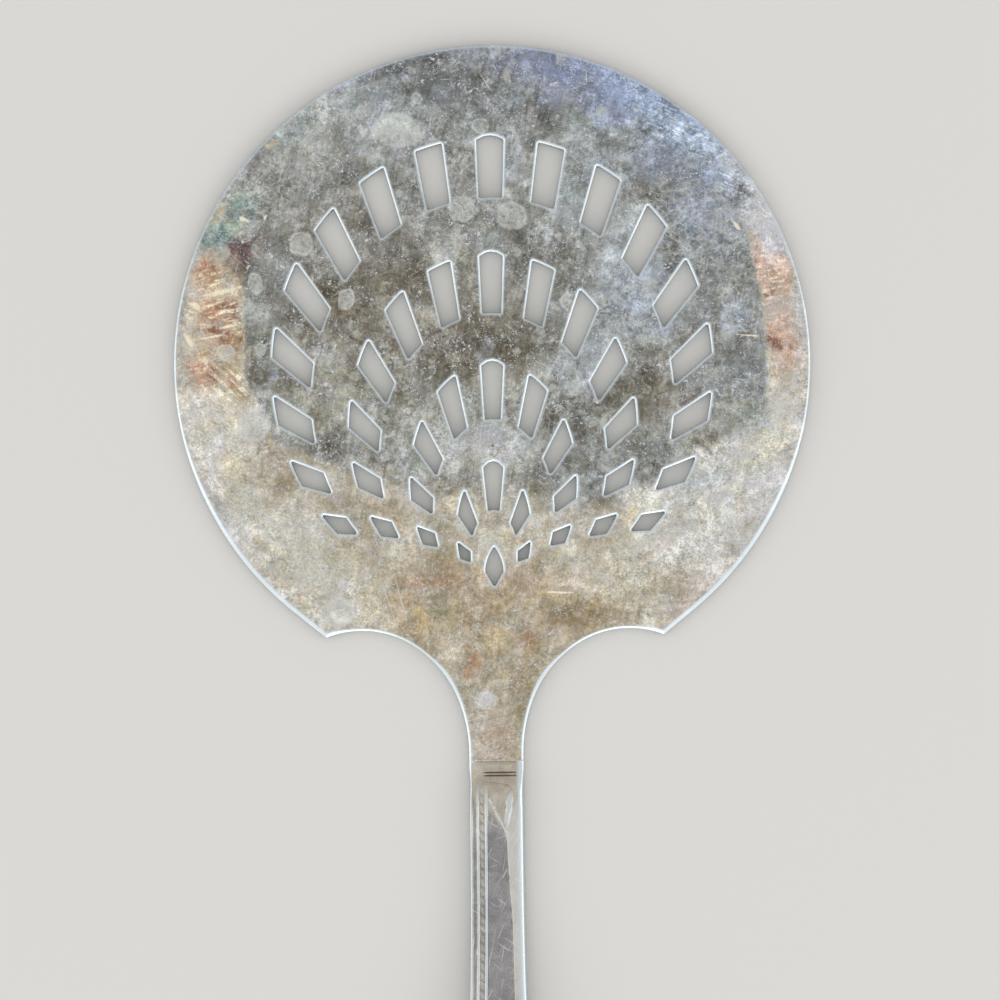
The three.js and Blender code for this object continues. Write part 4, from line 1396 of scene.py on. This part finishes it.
# Mottling and grain, with the dark and light ends of each on the film and on the bare plate
SWIRL_NOISE = Noise(0.2, 2.0, 0.5, 1.0)
SWIRL_CONTRAST = (0.35, 0.65, 1.4, 4.2)
MOTTLE_SHARES = (0.8, 1.0, 0.05)
MOTTLE_RANGE = (-0.02, 0.87)
MOTTLE_POWER = 1.5
DARK_ON_FILM = (0.62, 0.61, 0.6, 1.0)
LIGHT_ON_FILM = (1.6, 1.61, 1.61, 1.0)
DARK_ON_BARE = (0.72, 0.72, 0.71, 1.0)
LIGHT_ON_BARE = (1.4, 1.41, 1.41, 1.0)
GRAIN_CONTRAST = (0.34, 0.66, 0.7, 2.0)
GRAIN_RANGE = (-0.4, 0.4)
GRAIN_ON_FILM = ((0.74, 0.74, 0.74, 1.0), (1.28, 1.28, 1.28, 1.0))
GRAIN_ON_BARE = ((0.62, 0.62, 0.62, 1.0), (1.36, 1.36, 1.36, 1.0))
# Flecks. Small light ones have a scale and the noise levels between which they come up
FLECK_NOISE = Noise(0.9, 6.0, 0.7, 0.8)
DARK_FLECKS = (0.58, 0.68, 0.0, 0.4)
LIGHT_FLECKS = (0.58, 0.63, 0.0, 0.55)
SMALL_FLECKS = ((1.5, 0.61, 0.69), (2.4, 0.6, 0.68), (4.4, 0.6, 0.68))
SMALL_FLECK_DETAIL = 2.0
SMALL_FLECK_STRENGTH = 0.9
FLECKS_BY_FILM = (0.0, 1.0, 0.9, 1.0)
FLECK_CROWDS = (0.44, 0.62, 0.12, 1.0)
PEPPER_NOISE = Noise(3.0, 2.0)
PEPPER_SHIFT = (20, 60, 0)
PEPPER_RAMP = (0.61, 0.7, 0.0, 0.4)
# Small drops have a scale and a size. Placed drops have a face and a rim, by distance from their middle
DROP_STIR = (0.9, 0.9, 0.0)
SMALL_DROPS = ((0.3, 0.42), (0.55, 0.4))
SMALL_DROP_STRENGTH = (0.4, 0.6, 0.12, 0.55)
DROP_FACE = (1.12, 0.84)
DROP_INSIDE = (0.95, 0.72)
DROP_SHARES = (0.5, 0.5)
DROP_STRENGTH = (0.4, 0.6, 0.12, 0.7)
DROP_RIM_STRENGTH = (0.4, 0.6, 0.1, 0.6)
# Tide lines and the hollows between them
TIDE_NOISE = Noise(0.42, 3.0, 0.5)
TIDE_EDGE = (0.022, 0.004)
TIDE_STRENGTH = 0.55
HOLLOW_NOISE = Noise(0.5, 3.0, 0.5)
HOLLOW_SHIFT = (40, 10, 0)
HOLLOW_FLOOR = (0.55, 0.63)
HOLLOW_EDGE = (0.49, 0.56)
HOLLOW_STRENGTH = 0.32
HOLLOW_EDGE_STRENGTH = 0.3
# Dots and pits: scale and size
DOTS = ((0.9, 0.16), (1.9, 0.24))
DOT_CROWDS = (0.42, 0.58, 0.15, 0.8)
PITS = (0.4, 0.1)
PIT_SHIFT = (70, 70, 0)
PIT_STRENGTH = 0.6
# Fine scratches: x, y, half length, turn and strength
SCRATCHES = (
    (-0.4, 35.2, 1.8, -57, 0.9), (0.7, 37.2, 0.7, -62, 0.8), (-3.9, 37.7, 0.7, 26, 0.8),
    (-5.5, 35.7, 1.1, 3, 0.6), (-4.6, 34.9, 0.8, -58, 0.6), (-2.9, 34.3, 0.7, -57, 0.6),
    (-4.1, 20.0, 0.9, -25, 0.9), (-3.5, 19.2, 0.5, -80, 0.8), (-31.8, -2.5, 2.1, -37, 0.8),
    (-13.4, -29.5, 4.5, -71, 0.6), (-11.8, -29.3, 4.2, -75, 0.8), (31.1, -2.3, 1.4, -6, 0.7),
    (27.7, 27.4, 1.5, -15, 0.8), (27.9, 26.3, 1.3, -17, 0.8), (12.2, 35.8, 1.3, -88, 0.8),
    (-34.1, 1.1, 3.3, 16, 0.7), (-33.5, -4.8, 3.2, -50, 0.7), (-35, -4.2, 2.6, -55, 0.6),
)
SCRATCH_WIDTH = 0.1
SCRATCH_EDGE = (1.0, 0.3)
SCRATCH_STRENGTH = 0.8
FACE_HAIRS = (
    Hairs(-40, 16, 3.2, 0.67, 0.75, 0.34),
    Hairs(28, 16, 3.2, 0.67, 0.75, 0.34),
    Hairs(80, 16, 3.2, 0.67, 0.75, 0.34),
)
# Broad bright marks: x, y, half length, half width and turn
BROAD_MARKS = (
    (-33.5, 9.35, 2.9, 0.36, 13), (-33, 5, 1.8, 0.22, 10), (-35.1, 3.7, 1.95, 0.2, 9),
    (-37.1, 7.6, 1.1, 0.5, -30), (-38, 3.3, 1.1, 0.4, -60), (-30.9, 18.4, 0.75, 0.3, -20),
    (-28.3, 18.6, 0.4, 0.25, 70), (30.8, 17, 0.9, 0.26, -55), (32.2, 3.2, 1.6, 0.12, -5),
    (8.2, -28.8, 2.4, 0.16, -2),
)
MARK_SHARES = (1.0, 1.6, 2.4)
MARK_RAMP = (3.0, 2.4, 0.0, 0.85)
FACE_POLISH = 0.18
FACE_BUMP_SHARES = (0.5, 0.5)


class ServingFace(Finish):
    """Toned, spotted and scratched plate of the blade's upper side, laid on in layers."""

    def __init__(self, tones, centre_y):
        super().__init__("toned_serving_face", centre_y)
        self.tones = tones
        self.broad_colour = self.noise(BROAD_NOISE, colour=True)
        self.fine_colour = self.noise(FINE_NOISE, colour=True)
        self.broad = self.parts(self.broad_colour)
        self.fine = self.parts(self.fine_colour)
        self.clouds = self.noise(CLOUD_NOISE)
        self.grain = self.noise(GRAIN_NOISE)
        self.brush = self.hairs(BRUSH)
        self.weather = self.parts(self.noise(WEATHER_NOISE, colour=True))
        shade = self.sum((self.clouds, self.broad[0], self.weather[0], self.brush), SHADE_SHARES)
        self.shade = self.slide(shade, *SHADE_RANGE)

    def toned(self):
        """The grey film and the bare, warm plate, with the patches of colour on them."""
        film = self.mix(self.shade, self.tones.film_dark, self.tones.film_light)
        bare = self.mix(self.shade, self.tones.cream_dark, self.tones.cream_light)
        colour = self.mix(self.mark("film"), bare, film)
        for number, name in enumerate(TONING):
            break_up = FLAKY_BREAK_UP if name in FLAKY else SOFT_BREAK_UP
            noises = (self.broad[number % CHANNELS], self.fine[(number + 1) % CHANNELS], self.grain)
            ragged = self.sum(noises, break_up.shares)
            depth = self.times(self.mark(name), self.math("SUBTRACT", ragged, break_up.stop))
            amount = self.ramp(depth, *break_up.ramp)
            if name in STREAKS:
                amount = self.times(amount, self.hairs(Hairs(*STREAKS[name], *STREAK_LEVELS)))
            colour = self.mix(amount, colour, getattr(self.tones, name))
        return colour

    def leaned(self, colour):
        """A broad cast of colour, and leans to warm and cool."""
        colour = self.tinted(colour, self.vector("MULTIPLY_ADD", self.broad_colour, CAST_SPREAD, CAST_FLOOR))
        leaning = self.sum((self.mark("lean"), self.clouds, self.broad[2]), LEAN_SHARES)
        leaning = self.slide(leaning, *LEAN_RANGE)
        return self.tinted(colour, self.mix(leaning, WARM_LEAN, COOL_LEAN))

    def mottled(self, colour):
        """Mottling and grain, each stronger in some places than in others."""
        swirls = self.noise(SWIRL_NOISE)
        mottle = self.times(self.centred(self.weather[1]), self.ramp(swirls, *SWIRL_CONTRAST))
        texture = self.slide(self.sum((swirls, mottle, self.brush), MOTTLE_SHARES), *MOTTLE_RANGE)
        texture = self.math("POWER", texture, MOTTLE_POWER)
        on_film = self.mark("film")
        darkest = self.mix(on_film, DARK_ON_BARE, DARK_ON_FILM)
        lightest = self.mix(on_film, LIGHT_ON_BARE, LIGHT_ON_FILM)
        colour = self.tinted(colour, self.mix(texture, darkest, lightest))
        darkest = self.mix(on_film, GRAIN_ON_BARE[0], GRAIN_ON_FILM[0])
        lightest = self.mix(on_film, GRAIN_ON_BARE[1], GRAIN_ON_FILM[1])
        contrast = self.ramp(self.broad[1], *GRAIN_CONTRAST)
        texture = self.slide(self.times(self.centred(self.grain), contrast), *GRAIN_RANGE)
        return self.tinted(colour, self.mix(texture, darkest, lightest))

    def flecked(self, colour):
        """Dark and light flecks, and dark pepper."""
        flecks = self.parts(self.noise(FLECK_NOISE, colour=True))
        colour = self.mix(self.ramp(flecks[1], *DARK_FLECKS), colour, self.tones.smoke)
        light = self.ramp(flecks[0], *LIGHT_FLECKS)
        for scale, low, high in SMALL_FLECKS:
            small = self.noise(Noise(scale, SMALL_FLECK_DETAIL))
            light = self.math("MAXIMUM", light, self.ramp(small, low, high, 0.0, SMALL_FLECK_STRENGTH))
        light = self.times(light, self.ramp(self.mark("film"), *FLECKS_BY_FILM))
        light = self.times(light, self.ramp(self.broad[2], *FLECK_CROWDS))
        colour = self.mix(light, colour, self.tones.clean)
        pepper = self.noise(PEPPER_NOISE, self.shifted(PEPPER_SHIFT))
        return self.mix(self.ramp(pepper, *PEPPER_RAMP), colour, self.tones.smoke)

    def spotted(self, colour):
        """Dried drops: small scattered ones, and larger ones that are placed."""
        stirred_at = self.vector("ADD", self.at, self.vector("MULTIPLY", self.fine_colour, DROP_STIR))
        drops = self.gather("MAXIMUM", (self.specks(stirred_at, *small) for small in SMALL_DROPS))
        drops = self.times(drops, self.ramp(self.weather[2], *SMALL_DROP_STRENGTH))
        colour = self.mix(drops, colour, self.tones.water)
        reach = self.mark("water_spot")
        face = self.ramp(reach, *DROP_FACE)
        rim = self.math("SUBTRACT", face, self.ramp(reach, *DROP_INSIDE))
        cloudy = self.ramp(self.sum((self.fine[1], self.weather[2]), DROP_SHARES), *DROP_STRENGTH)
        colour = self.mix(self.times(face, cloudy), colour, self.tones.water)
        rim = self.times(rim, self.ramp(self.broad[1], *DROP_RIM_STRENGTH))
        return self.mix(rim, colour, self.tones.clean)

    def tide_marked(self, colour):
        """Wavy lines of dried water, and the hollows between them."""
        level = self.math("ABSOLUTE", self.centred(self.noise(TIDE_NOISE)))
        tide = self.times(self.ramp(level, *TIDE_EDGE), self.mark("tide"))
        colour = self.mix(self.times(tide, TIDE_STRENGTH), colour, self.tones.water)
        level = self.noise(HOLLOW_NOISE, self.shifted(HOLLOW_SHIFT))
        hollow = self.ramp(level, *HOLLOW_FLOOR)
        edge = self.math("SUBTRACT", self.ramp(level, *HOLLOW_EDGE), hollow)
        dried = self.mark("tide")
        colour = self.mix(self.times(hollow, dried, HOLLOW_STRENGTH), colour, self.tones.smoke)
        return self.mix(self.times(edge, dried, HOLLOW_EDGE_STRENGTH), colour, self.tones.water)

    def dotted(self, colour):
        """Small bright dots and dark pits."""
        for scale, size in DOTS:
            dots = self.times(self.specks(self.at, scale, size), self.ramp(self.broad[1], *DOT_CROWDS))
            colour = self.mix(dots, colour, self.tones.clean)
        pits = self.specks(self.shifted(PIT_SHIFT), *PITS)
        return self.mix(self.times(pits, PIT_STRENGTH), colour, self.tones.smoke)

    def scratch_lines(self):
        """The placed scratches and then the hair scratches, one at a time."""
        for x, y, half_length, turn, strength in SCRATCHES:
            reach = self.reach(x, y, half_length, SCRATCH_WIDTH, turn)
            yield self.ramp(reach, *SCRATCH_EDGE, 0.0, strength)
        for hairs in FACE_HAIRS:
            yield self.hairs(hairs)

    def scratched(self, colour):
        """Fine scratches and broad, ragged marks."""
        scratch = self.gather("MAXIMUM", self.scratch_lines())
        colour = self.mix(self.times(scratch, SCRATCH_STRENGTH), colour, self.tones.clean)
        nearest = self.gather("MINIMUM", (self.reach(*mark) for mark in BROAD_MARKS))
        ragged = self.sum((nearest, self.fine[0], self.weather[2]), MARK_SHARES)
        return self.mix(self.ramp(ragged, *MARK_RAMP), colour, self.tones.flakes)

    def worn(self, colour):
        """Bright worn edges, whose cool tint and strength by facing are painted highlight, and the end of the
        material.
        """
        edge = self.mark("worn_edge_and_highlight")
        colour = self.mix(self.times(edge, WORN_EDGE_AND_HIGHLIGHT_STRENGTH), colour, self.tones.rim)
        rough = self.ramp(self.shade, *PLATE_ROUGHNESS)
        rough = self.math("SUBTRACT", rough, self.times(edge, FACE_POLISH))
        height = self.sum((self.fine[0], self.grain), FACE_BUMP_SHARES)
        return self.finish(colour, rough, height, PLATE_BUMP)


def serving_face_finish(tones, centre_y):
    """Toned, spotted and scratched plate of the blade's upper side."""
    face = ServingFace(tones, centre_y)
    colour = face.toned()
    for layer in (
        face.leaned, face.mottled, face.flecked, face.spotted, face.tide_marked, face.dotted, face.scratched,
    ):
        colour = layer(colour)
    return face.worn(colour)


# Underside: noises with their ramps and shares, and hair scratches
UNDERSIDE_CLOUDS = Noise(0.1, 4.0)
UNDERSIDE_CLOUD_RAMP = (0.35, 0.65)
UNDERSIDE_MOTTLE = Noise(0.7, 5.0, 0.68)
UNDERSIDE_MOTTLE_RAMP = (0.32, 0.68)
UNDERSIDE_GRAIN = Noise(3.0, 3.0, 0.7)
UNDERSIDE_GRAIN_RAMP = (0.3, 0.7)
UNDERSIDE_SHARES = (0.45, 0.3, 0.25)
UNDERSIDE_HAIRS = Hairs(17, 10, 4.0, 0.62, 0.72, 0.6)


def underside_finish(tones, centre_y):
    """Evenly tarnished plate on the side that lies on the table."""
    plate = Finish("toned_underside", centre_y)
    clouds = plate.ramp(plate.noise(UNDERSIDE_CLOUDS), *UNDERSIDE_CLOUD_RAMP)
    mottle = plate.ramp(plate.noise(UNDERSIDE_MOTTLE), *UNDERSIDE_MOTTLE_RAMP)
    grain = plate.ramp(plate.noise(UNDERSIDE_GRAIN), *UNDERSIDE_GRAIN_RAMP)
    blend = plate.sum((clouds, mottle, grain), UNDERSIDE_SHARES)
    colour = plate.mix(blend, tones.film_dark, tones.cream_light)
    hair = plate.hairs(UNDERSIDE_HAIRS)
    colour = plate.mix(hair, colour, tones.clean)
    height = plate.math("SUBTRACT", mottle, hair)
    return plate.finish(colour, plate.ramp(blend, *PLATE_ROUGHNESS), height, PLATE_BUMP)


# Handle: noises and their shares, and where its toning turns from warm at the collar to cool
HANDLE_MOTTLE = Noise(0.8, 5.0, 0.65)
HANDLE_GRAIN = Noise(4.6, 3.0, 0.75)
HANDLE_CLOUDS = Noise(0.14)
HANDLE_SHARES = (1.2, 0.6, 0.7)
HANDLE_RANGE = (0.9, 1.6)
WARM_TO_COOL = (-52.0, -62.0)
RECESS_STRENGTH = 0.32
SMOOTH_BORDER_HIGHLIGHT_STRENGTH = 0.55
# Hair scratches, which are fainter near the collar, and their depth in the bump
HANDLE_HAIRS = (
    Hairs(64, 18, 4.6, 0.65, 0.73, 0.85),
    Hairs(-34, 11, 3.0, 0.67, 0.75, 0.85),
    Hairs(18, 14, 5.2, 0.68, 0.76, 0.85),
    Hairs(80, 22, 3.4, 0.64, 0.72, 0.85),
)
HANDLE_SCRATCH_STRENGTH = (-53.0, -60.0, 0.15, 0.6)
HANDLE_SCRATCH_DEPTH = 0.5
HANDLE_ROUGHNESS = (0.0, 1.0, 0.46, 0.36)
HANDLE_POLISH = 0.16
HANDLE_BUMP = 0.01


def handle_finish(tones, centre_y):
    """Handled plate: dark in the grooves from tarnish, dark in the panel from tarnish and painted shade, and
    bright on the ridges from wear and painted highlight.
    """
    plate = Finish("handled_plate", centre_y)
    mottle = plate.noise(HANDLE_MOTTLE)
    grain = plate.noise(HANDLE_GRAIN)
    clouds = plate.noise(HANDLE_CLOUDS)
    shade = plate.slide(plate.sum((clouds, mottle, grain), HANDLE_SHARES), *HANDLE_RANGE)
    warm = plate.mix(shade, tones.collar_dark, tones.collar_light)
    cool = plate.mix(shade, tones.handle_dark, tones.handle_light)
    place_y = plate.place("Y")
    colour = plate.mix(plate.ramp(place_y, *WARM_TO_COOL), warm, cool)
    # Sunk panel: tarnish, darkened as painted shade
    colour = plate.mix(plate.mark("panel"), colour, plate.mix(shade, tones.shaded_panel_dark, tones.shaded_panel_light))
    colour = plate.mix(plate.times(plate.mark("recess"), RECESS_STRENGTH), colour, tones.film_dark)
    # Worn side's smooth border: painted bright as a highlight
    smooth_border_highlight = plate.times(plate.mark("smooth_border_highlight"), SMOOTH_BORDER_HIGHLIGHT_STRENGTH)
    colour = plate.mix(smooth_border_highlight, colour, tones.cream_light)
    scratch = plate.gather("MAXIMUM", (plate.hairs(hairs) for hairs in HANDLE_HAIRS))
    scratch = plate.times(scratch, plate.ramp(place_y, *HANDLE_SCRATCH_STRENGTH))
    colour = plate.mix(scratch, colour, tones.clean)
    # Bright worn edges and ridges: wear, partly painted highlight
    edge = plate.mark("worn_edge_and_highlight")
    colour = plate.mix(plate.times(edge, WORN_EDGE_AND_HIGHLIGHT_STRENGTH), colour, tones.rim)
    rough = plate.math("SUBTRACT", plate.ramp(shade, *HANDLE_ROUGHNESS), plate.times(edge, HANDLE_POLISH))
    bumps = plate.math("ADD", mottle, grain)
    height = plate.math("SUBTRACT", bumps, plate.times(scratch, HANDLE_SCRATCH_DEPTH))
    return plate.finish(colour, rough, height, HANDLE_BUMP)


# Solder: its mottling, and where the line is painted bright towards the neck's edges, as wear with painted
# highlight
SOLDER_NOISE = Noise(2.0, 4.0)
SOLDER_RAMP = (0.3, 0.7)
SOLDER_EDGE_HIGHLIGHT = (2.3, 3.1)
SOLDER_BUMP = 0.01


def solder_finish(tones, centre_y):
    """Grey line of solder across the neck, darkened partly as painted shade of the collar's slope, with
    painted highlight at the neck's edges.
    """
    plate = Finish("grey_solder", centre_y)
    mottle = plate.ramp(plate.noise(SOLDER_NOISE), *SOLDER_RAMP)
    across = plate.math("ABSOLUTE", plate.place("X"))
    # Dark solder: its own grey, deepened as painted shade of the collar's slope
    colour = plate.mix(mottle, tones.cream_dark, tones.collar_dark)
    colour = plate.mix(plate.ramp(across, *SOLDER_EDGE_HIGHLIGHT), colour, tones.clean)
    return plate.finish(colour, plate.ramp(mottle, *PLATE_ROUGHNESS), mottle, SOLDER_BUMP)


# Operators

def read_settings(context):
    """The scene's settings, the blade's sizes in millimetres, and its layout."""
    settings = context.scene.tomato_server
    blade = in_millimetres(settings.blade)
    return settings, blade, blade_layout(blade)


class SERVER_OT_pierced_blade(bpy.types.Operator):
    """Builds the round pierced blade with its shoulders, neck and tongue"""

    bl_idname = "tomato_server.pierced_blade"
    bl_label = "Pierced Blade"

    def execute(self, context):
        settings, blade, layout = read_settings(context)
        piece = make_piece("pierced_blade_plate", *blade_mesh(blade, layout))
        cut_away(
            piece,
            (-blade.neck_width, layout.root_y - blade.lap_length - OVERCUT, blade.tongue_thickness),
            (blade.neck_width, layout.root_y + blade.solder_thickness, blade.thickness + OVERCUT),
        )
        dress(
            piece,
            serving_face_finish(settings.tones, layout.centre_y),
            underside_finish(settings.tones, layout.centre_y),
        )
        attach(piece, BODY)
        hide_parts("pierced_blade")
        return {"FINISHED"}


class SERVER_OT_handle(bpy.types.Operator):
    """Builds the struck handle with its collar, border and sunk panel"""

    bl_idname = "tomato_server.handle"
    bl_label = "Handle"

    def execute(self, context):
        settings, blade, layout = read_settings(context)
        piece = make_piece("struck_handle", *handle_mesh(in_millimetres(settings.handle), blade, layout))
        lap_top = blade.tongue_thickness + blade.solder_thickness
        cut_away(
            piece,
            (-blade.neck_width, layout.root_y - blade.lap_length - blade.solder_thickness, -OVERCUT),
            (blade.neck_width, layout.root_y + OVERCUT, lap_top),
        )
        dress(
            piece,
            handle_finish(settings.tones, layout.centre_y),
            underside_finish(settings.tones, layout.centre_y),
        )
        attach(piece, BODY)
        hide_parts("handle")
        return {"FINISHED"}


class SERVER_OT_solder_seam(bpy.types.Operator):
    """Builds the solder in the lap between the blade's tongue and the handle"""

    bl_idname = "tomato_server.solder_seam"
    bl_label = "Solder Seam"

    def execute(self, context):
        settings, blade, layout = read_settings(context)
        piece = make_piece("solder_line", *seam_mesh(blade, layout))
        wide = blade.neck_width
        deep = 2 * blade.thickness
        root_y = layout.root_y
        end_y = root_y - blade.lap_length
        far = blade.lap_length + blade.neck_width
        lap_top = blade.tongue_thickness + blade.solder_thickness
        cut_away(piece, (-wide, root_y + blade.solder_thickness, -deep), (wide, root_y + far, deep))
        cut_away(piece, (-wide, end_y - far, -deep), (wide, end_y - blade.solder_thickness, deep))
        cut_away(piece, (-wide, end_y - far, lap_top), (wide, root_y, deep))
        cut_away(piece, (-wide, end_y, -deep), (wide, root_y + far, blade.tongue_thickness))
        finish = solder_finish(settings.tones, layout.centre_y)
        dress(piece, finish, finish)
        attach(piece, BODY)
        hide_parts("solder_seam")
        return {"FINISHED"}


# Lamps: place and size in metres, and the setting with their brightness
Softbox = namedtuple("Softbox", "name place width height level")
SOFTBOXES = (
    Softbox("front_softbox", (0.08, -0.62, 0.34), 0.7, 0.2, "front_lamp"),
    Softbox("right_softbox", (0.60, 0.02, 0.30), 0.5, 0.25, "right_lamp"),
    Softbox("left_softbox", (-0.60, 0.02, 0.30), 0.5, 0.25, "left_lamp"),
)
# How far below the blade's centre the lamps point, and the picture's middle from it, in millimetres
LAMPS_AIM_BELOW = 15
PICTURE_MIDDLE = (0.8, -17.13)
SENSOR_WIDTH = 36
# Light of the world: from behind to the front, and from low to high, as parts of a direction
BACK_TO_FRONT = (0.25, -0.6)
LOW_TO_HIGH = (0.45, 0.9)
# Floor: half its side in metres, how far it lies under the server in millimetres, and its sheen
FLOOR_HALF = 3.0
FLOOR_DROP = 0.05
FLOOR_ROUGHNESS = 0.9
FLOOR_GLOSS = 0.1


class SERVER_OT_studio(bpy.types.Operator):
    """Sets up the pale floor, the soft light and the camera"""

    bl_idname = "tomato_server.studio"
    bl_label = "Studio"

    def execute(self, context):
        scene = context.scene
        settings = scene.tomato_server
        stage = in_millimetres(settings.stage)
        layout = blade_layout(in_millimetres(settings.blade))
        lay_floor(stage)
        light_world(scene, stage)
        target = Vector((0, layout.centre_y - LAMPS_AIM_BELOW, 0)) * MM
        for softbox in SOFTBOXES:
            hang_lamp(softbox, target, getattr(stage, softbox.level))
        aim_camera(scene, stage, layout)
        scene.view_settings.view_transform = "Standard"
        return {"FINISHED"}


def lay_floor(stage):
    """A wide, plain floor just under the server."""
    mesh = bpy.data.meshes.new("floor")
    places = ((-1, -1), (1, -1), (1, 1), (-1, 1))
    corners = [(x * FLOOR_HALF, y * FLOOR_HALF, -FLOOR_DROP * MM) for x, y in places]
    mesh.from_pydata(corners, [], [(0, 1, 2, 3)])
    finish = bpy.data.materials.new("pale_floor")
    finish.use_nodes = True
    shader = finish.node_tree.nodes["Principled BSDF"]
    shader.inputs["Base Color"].default_value = stage.floor
    shader.inputs["Roughness"].default_value = FLOOR_ROUGHNESS
    shader.inputs["Specular IOR Level"].default_value = FLOOR_GLOSS
    mesh.materials.append(finish)
    floor = bpy.data.objects.new("floor", mesh)
    bpy.context.scene.collection.objects.link(floor)


def light_world(scene, stage):
    """Soft light from all around, with its own level from behind, from the front and from above."""
    world = bpy.data.worlds.new("soft_studio")
    world.use_nodes = True
    tree = world.node_tree
    direction = tree.nodes.new("ShaderNodeTexCoord").outputs["Generated"]
    parts = tree.nodes.new("ShaderNodeSeparateXYZ")
    tree.links.new(direction, parts.inputs[0])
    side = tree.nodes.new("ShaderNodeMapRange")
    side.interpolation_type = "SMOOTHSTEP"
    for number, value in enumerate((*BACK_TO_FRONT, stage.back_horizon, stage.front_horizon), 1):
        side.inputs[number].default_value = value
    tree.links.new(parts.outputs["Y"], side.inputs[0])
    rise = tree.nodes.new("ShaderNodeMapRange")
    rise.interpolation_type = "SMOOTHSTEP"
    for number, value in enumerate(LOW_TO_HIGH, 1):
        rise.inputs[number].default_value = value
    rise.inputs[4].default_value = stage.zenith
    tree.links.new(side.outputs[0], rise.inputs[3])
    tree.links.new(parts.outputs["Z"], rise.inputs[0])
    tree.links.new(rise.outputs[0], tree.nodes["Background"].inputs["Strength"])
    tree.nodes["Background"].inputs["Color"].default_value = (1, 1, 1, 1)
    scene.world = world


def hang_lamp(softbox, target, brightness):
    """A soft area lamp that points at the target."""
    lamp = bpy.data.lights.new(softbox.name, "AREA")
    lamp.shape = "RECTANGLE"
    lamp.size = softbox.width
    lamp.size_y = softbox.height
    lamp.energy = brightness * math.pi * softbox.width * softbox.height
    holder = bpy.data.objects.new(softbox.name, lamp)
    holder.location = softbox.place
    holder.rotation_euler = (target - Vector(softbox.place)).to_track_quat("-Z", "Y").to_euler()
    holder.visible_camera = False
    bpy.context.scene.collection.objects.link(holder)


def aim_camera(scene, stage, layout):
    """Looks straight down on the middle of the picture."""
    camera = bpy.data.cameras.new("camera")
    camera.sensor_width = SENSOR_WIDTH
    camera.lens = camera.sensor_width * stage.camera_height / stage.view_width
    holder = bpy.data.objects.new("camera", camera)
    middle_x, middle_y = PICTURE_MIDDLE
    middle = Vector((middle_x, layout.centre_y + middle_y, BLADE_BOX[1].z / MM + stage.camera_height))
    holder.location = middle * MM
    holder.rotation_euler = (0, 0, stage.lean)
    scene.collection.objects.link(holder)
    scene.camera = holder


class SERVER_PT_panel(bpy.types.Panel):
    """Lists the pieces of the server and their settings"""

    bl_idname = "SERVER_PT_panel"
    bl_label = "Tomato Server"
    bl_space_type = "VIEW_3D"
    bl_region_type = "UI"
    bl_category = "Server"

    def draw(self, context):
        for operator in PIECES:
            self.layout.operator(operator.bl_idname)
        for group in ("blade", "handle", "tones", "stage"):
            box = self.layout.box()
            box.label(text=group.capitalize())
            values = getattr(context.scene.tomato_server, group)
            for prop in own_properties(values):
                box.prop(values, prop.identifier)


PIECES = (SERVER_OT_pierced_blade, SERVER_OT_handle, SERVER_OT_solder_seam, SERVER_OT_studio)
CLASSES = (BladeSizes, HandleSizes, PlateTones, StageLevels, ServerSettings, *PIECES, SERVER_PT_panel)


def register():
    for cls in CLASSES:
        bpy.utils.register_class(cls)
    bpy.types.Scene.tomato_server = bpy.props.PointerProperty(type=ServerSettings)


def unregister():
    del bpy.types.Scene.tomato_server
    for cls in reversed(CLASSES):
        bpy.utils.unregister_class(cls)


def main():
    register()
    bpy.ops.tomato_server.pierced_blade()
    bpy.ops.tomato_server.handle()
    bpy.ops.tomato_server.solder_seam()
    bpy.ops.tomato_server.studio()


if __name__ == "__main__":
    main()
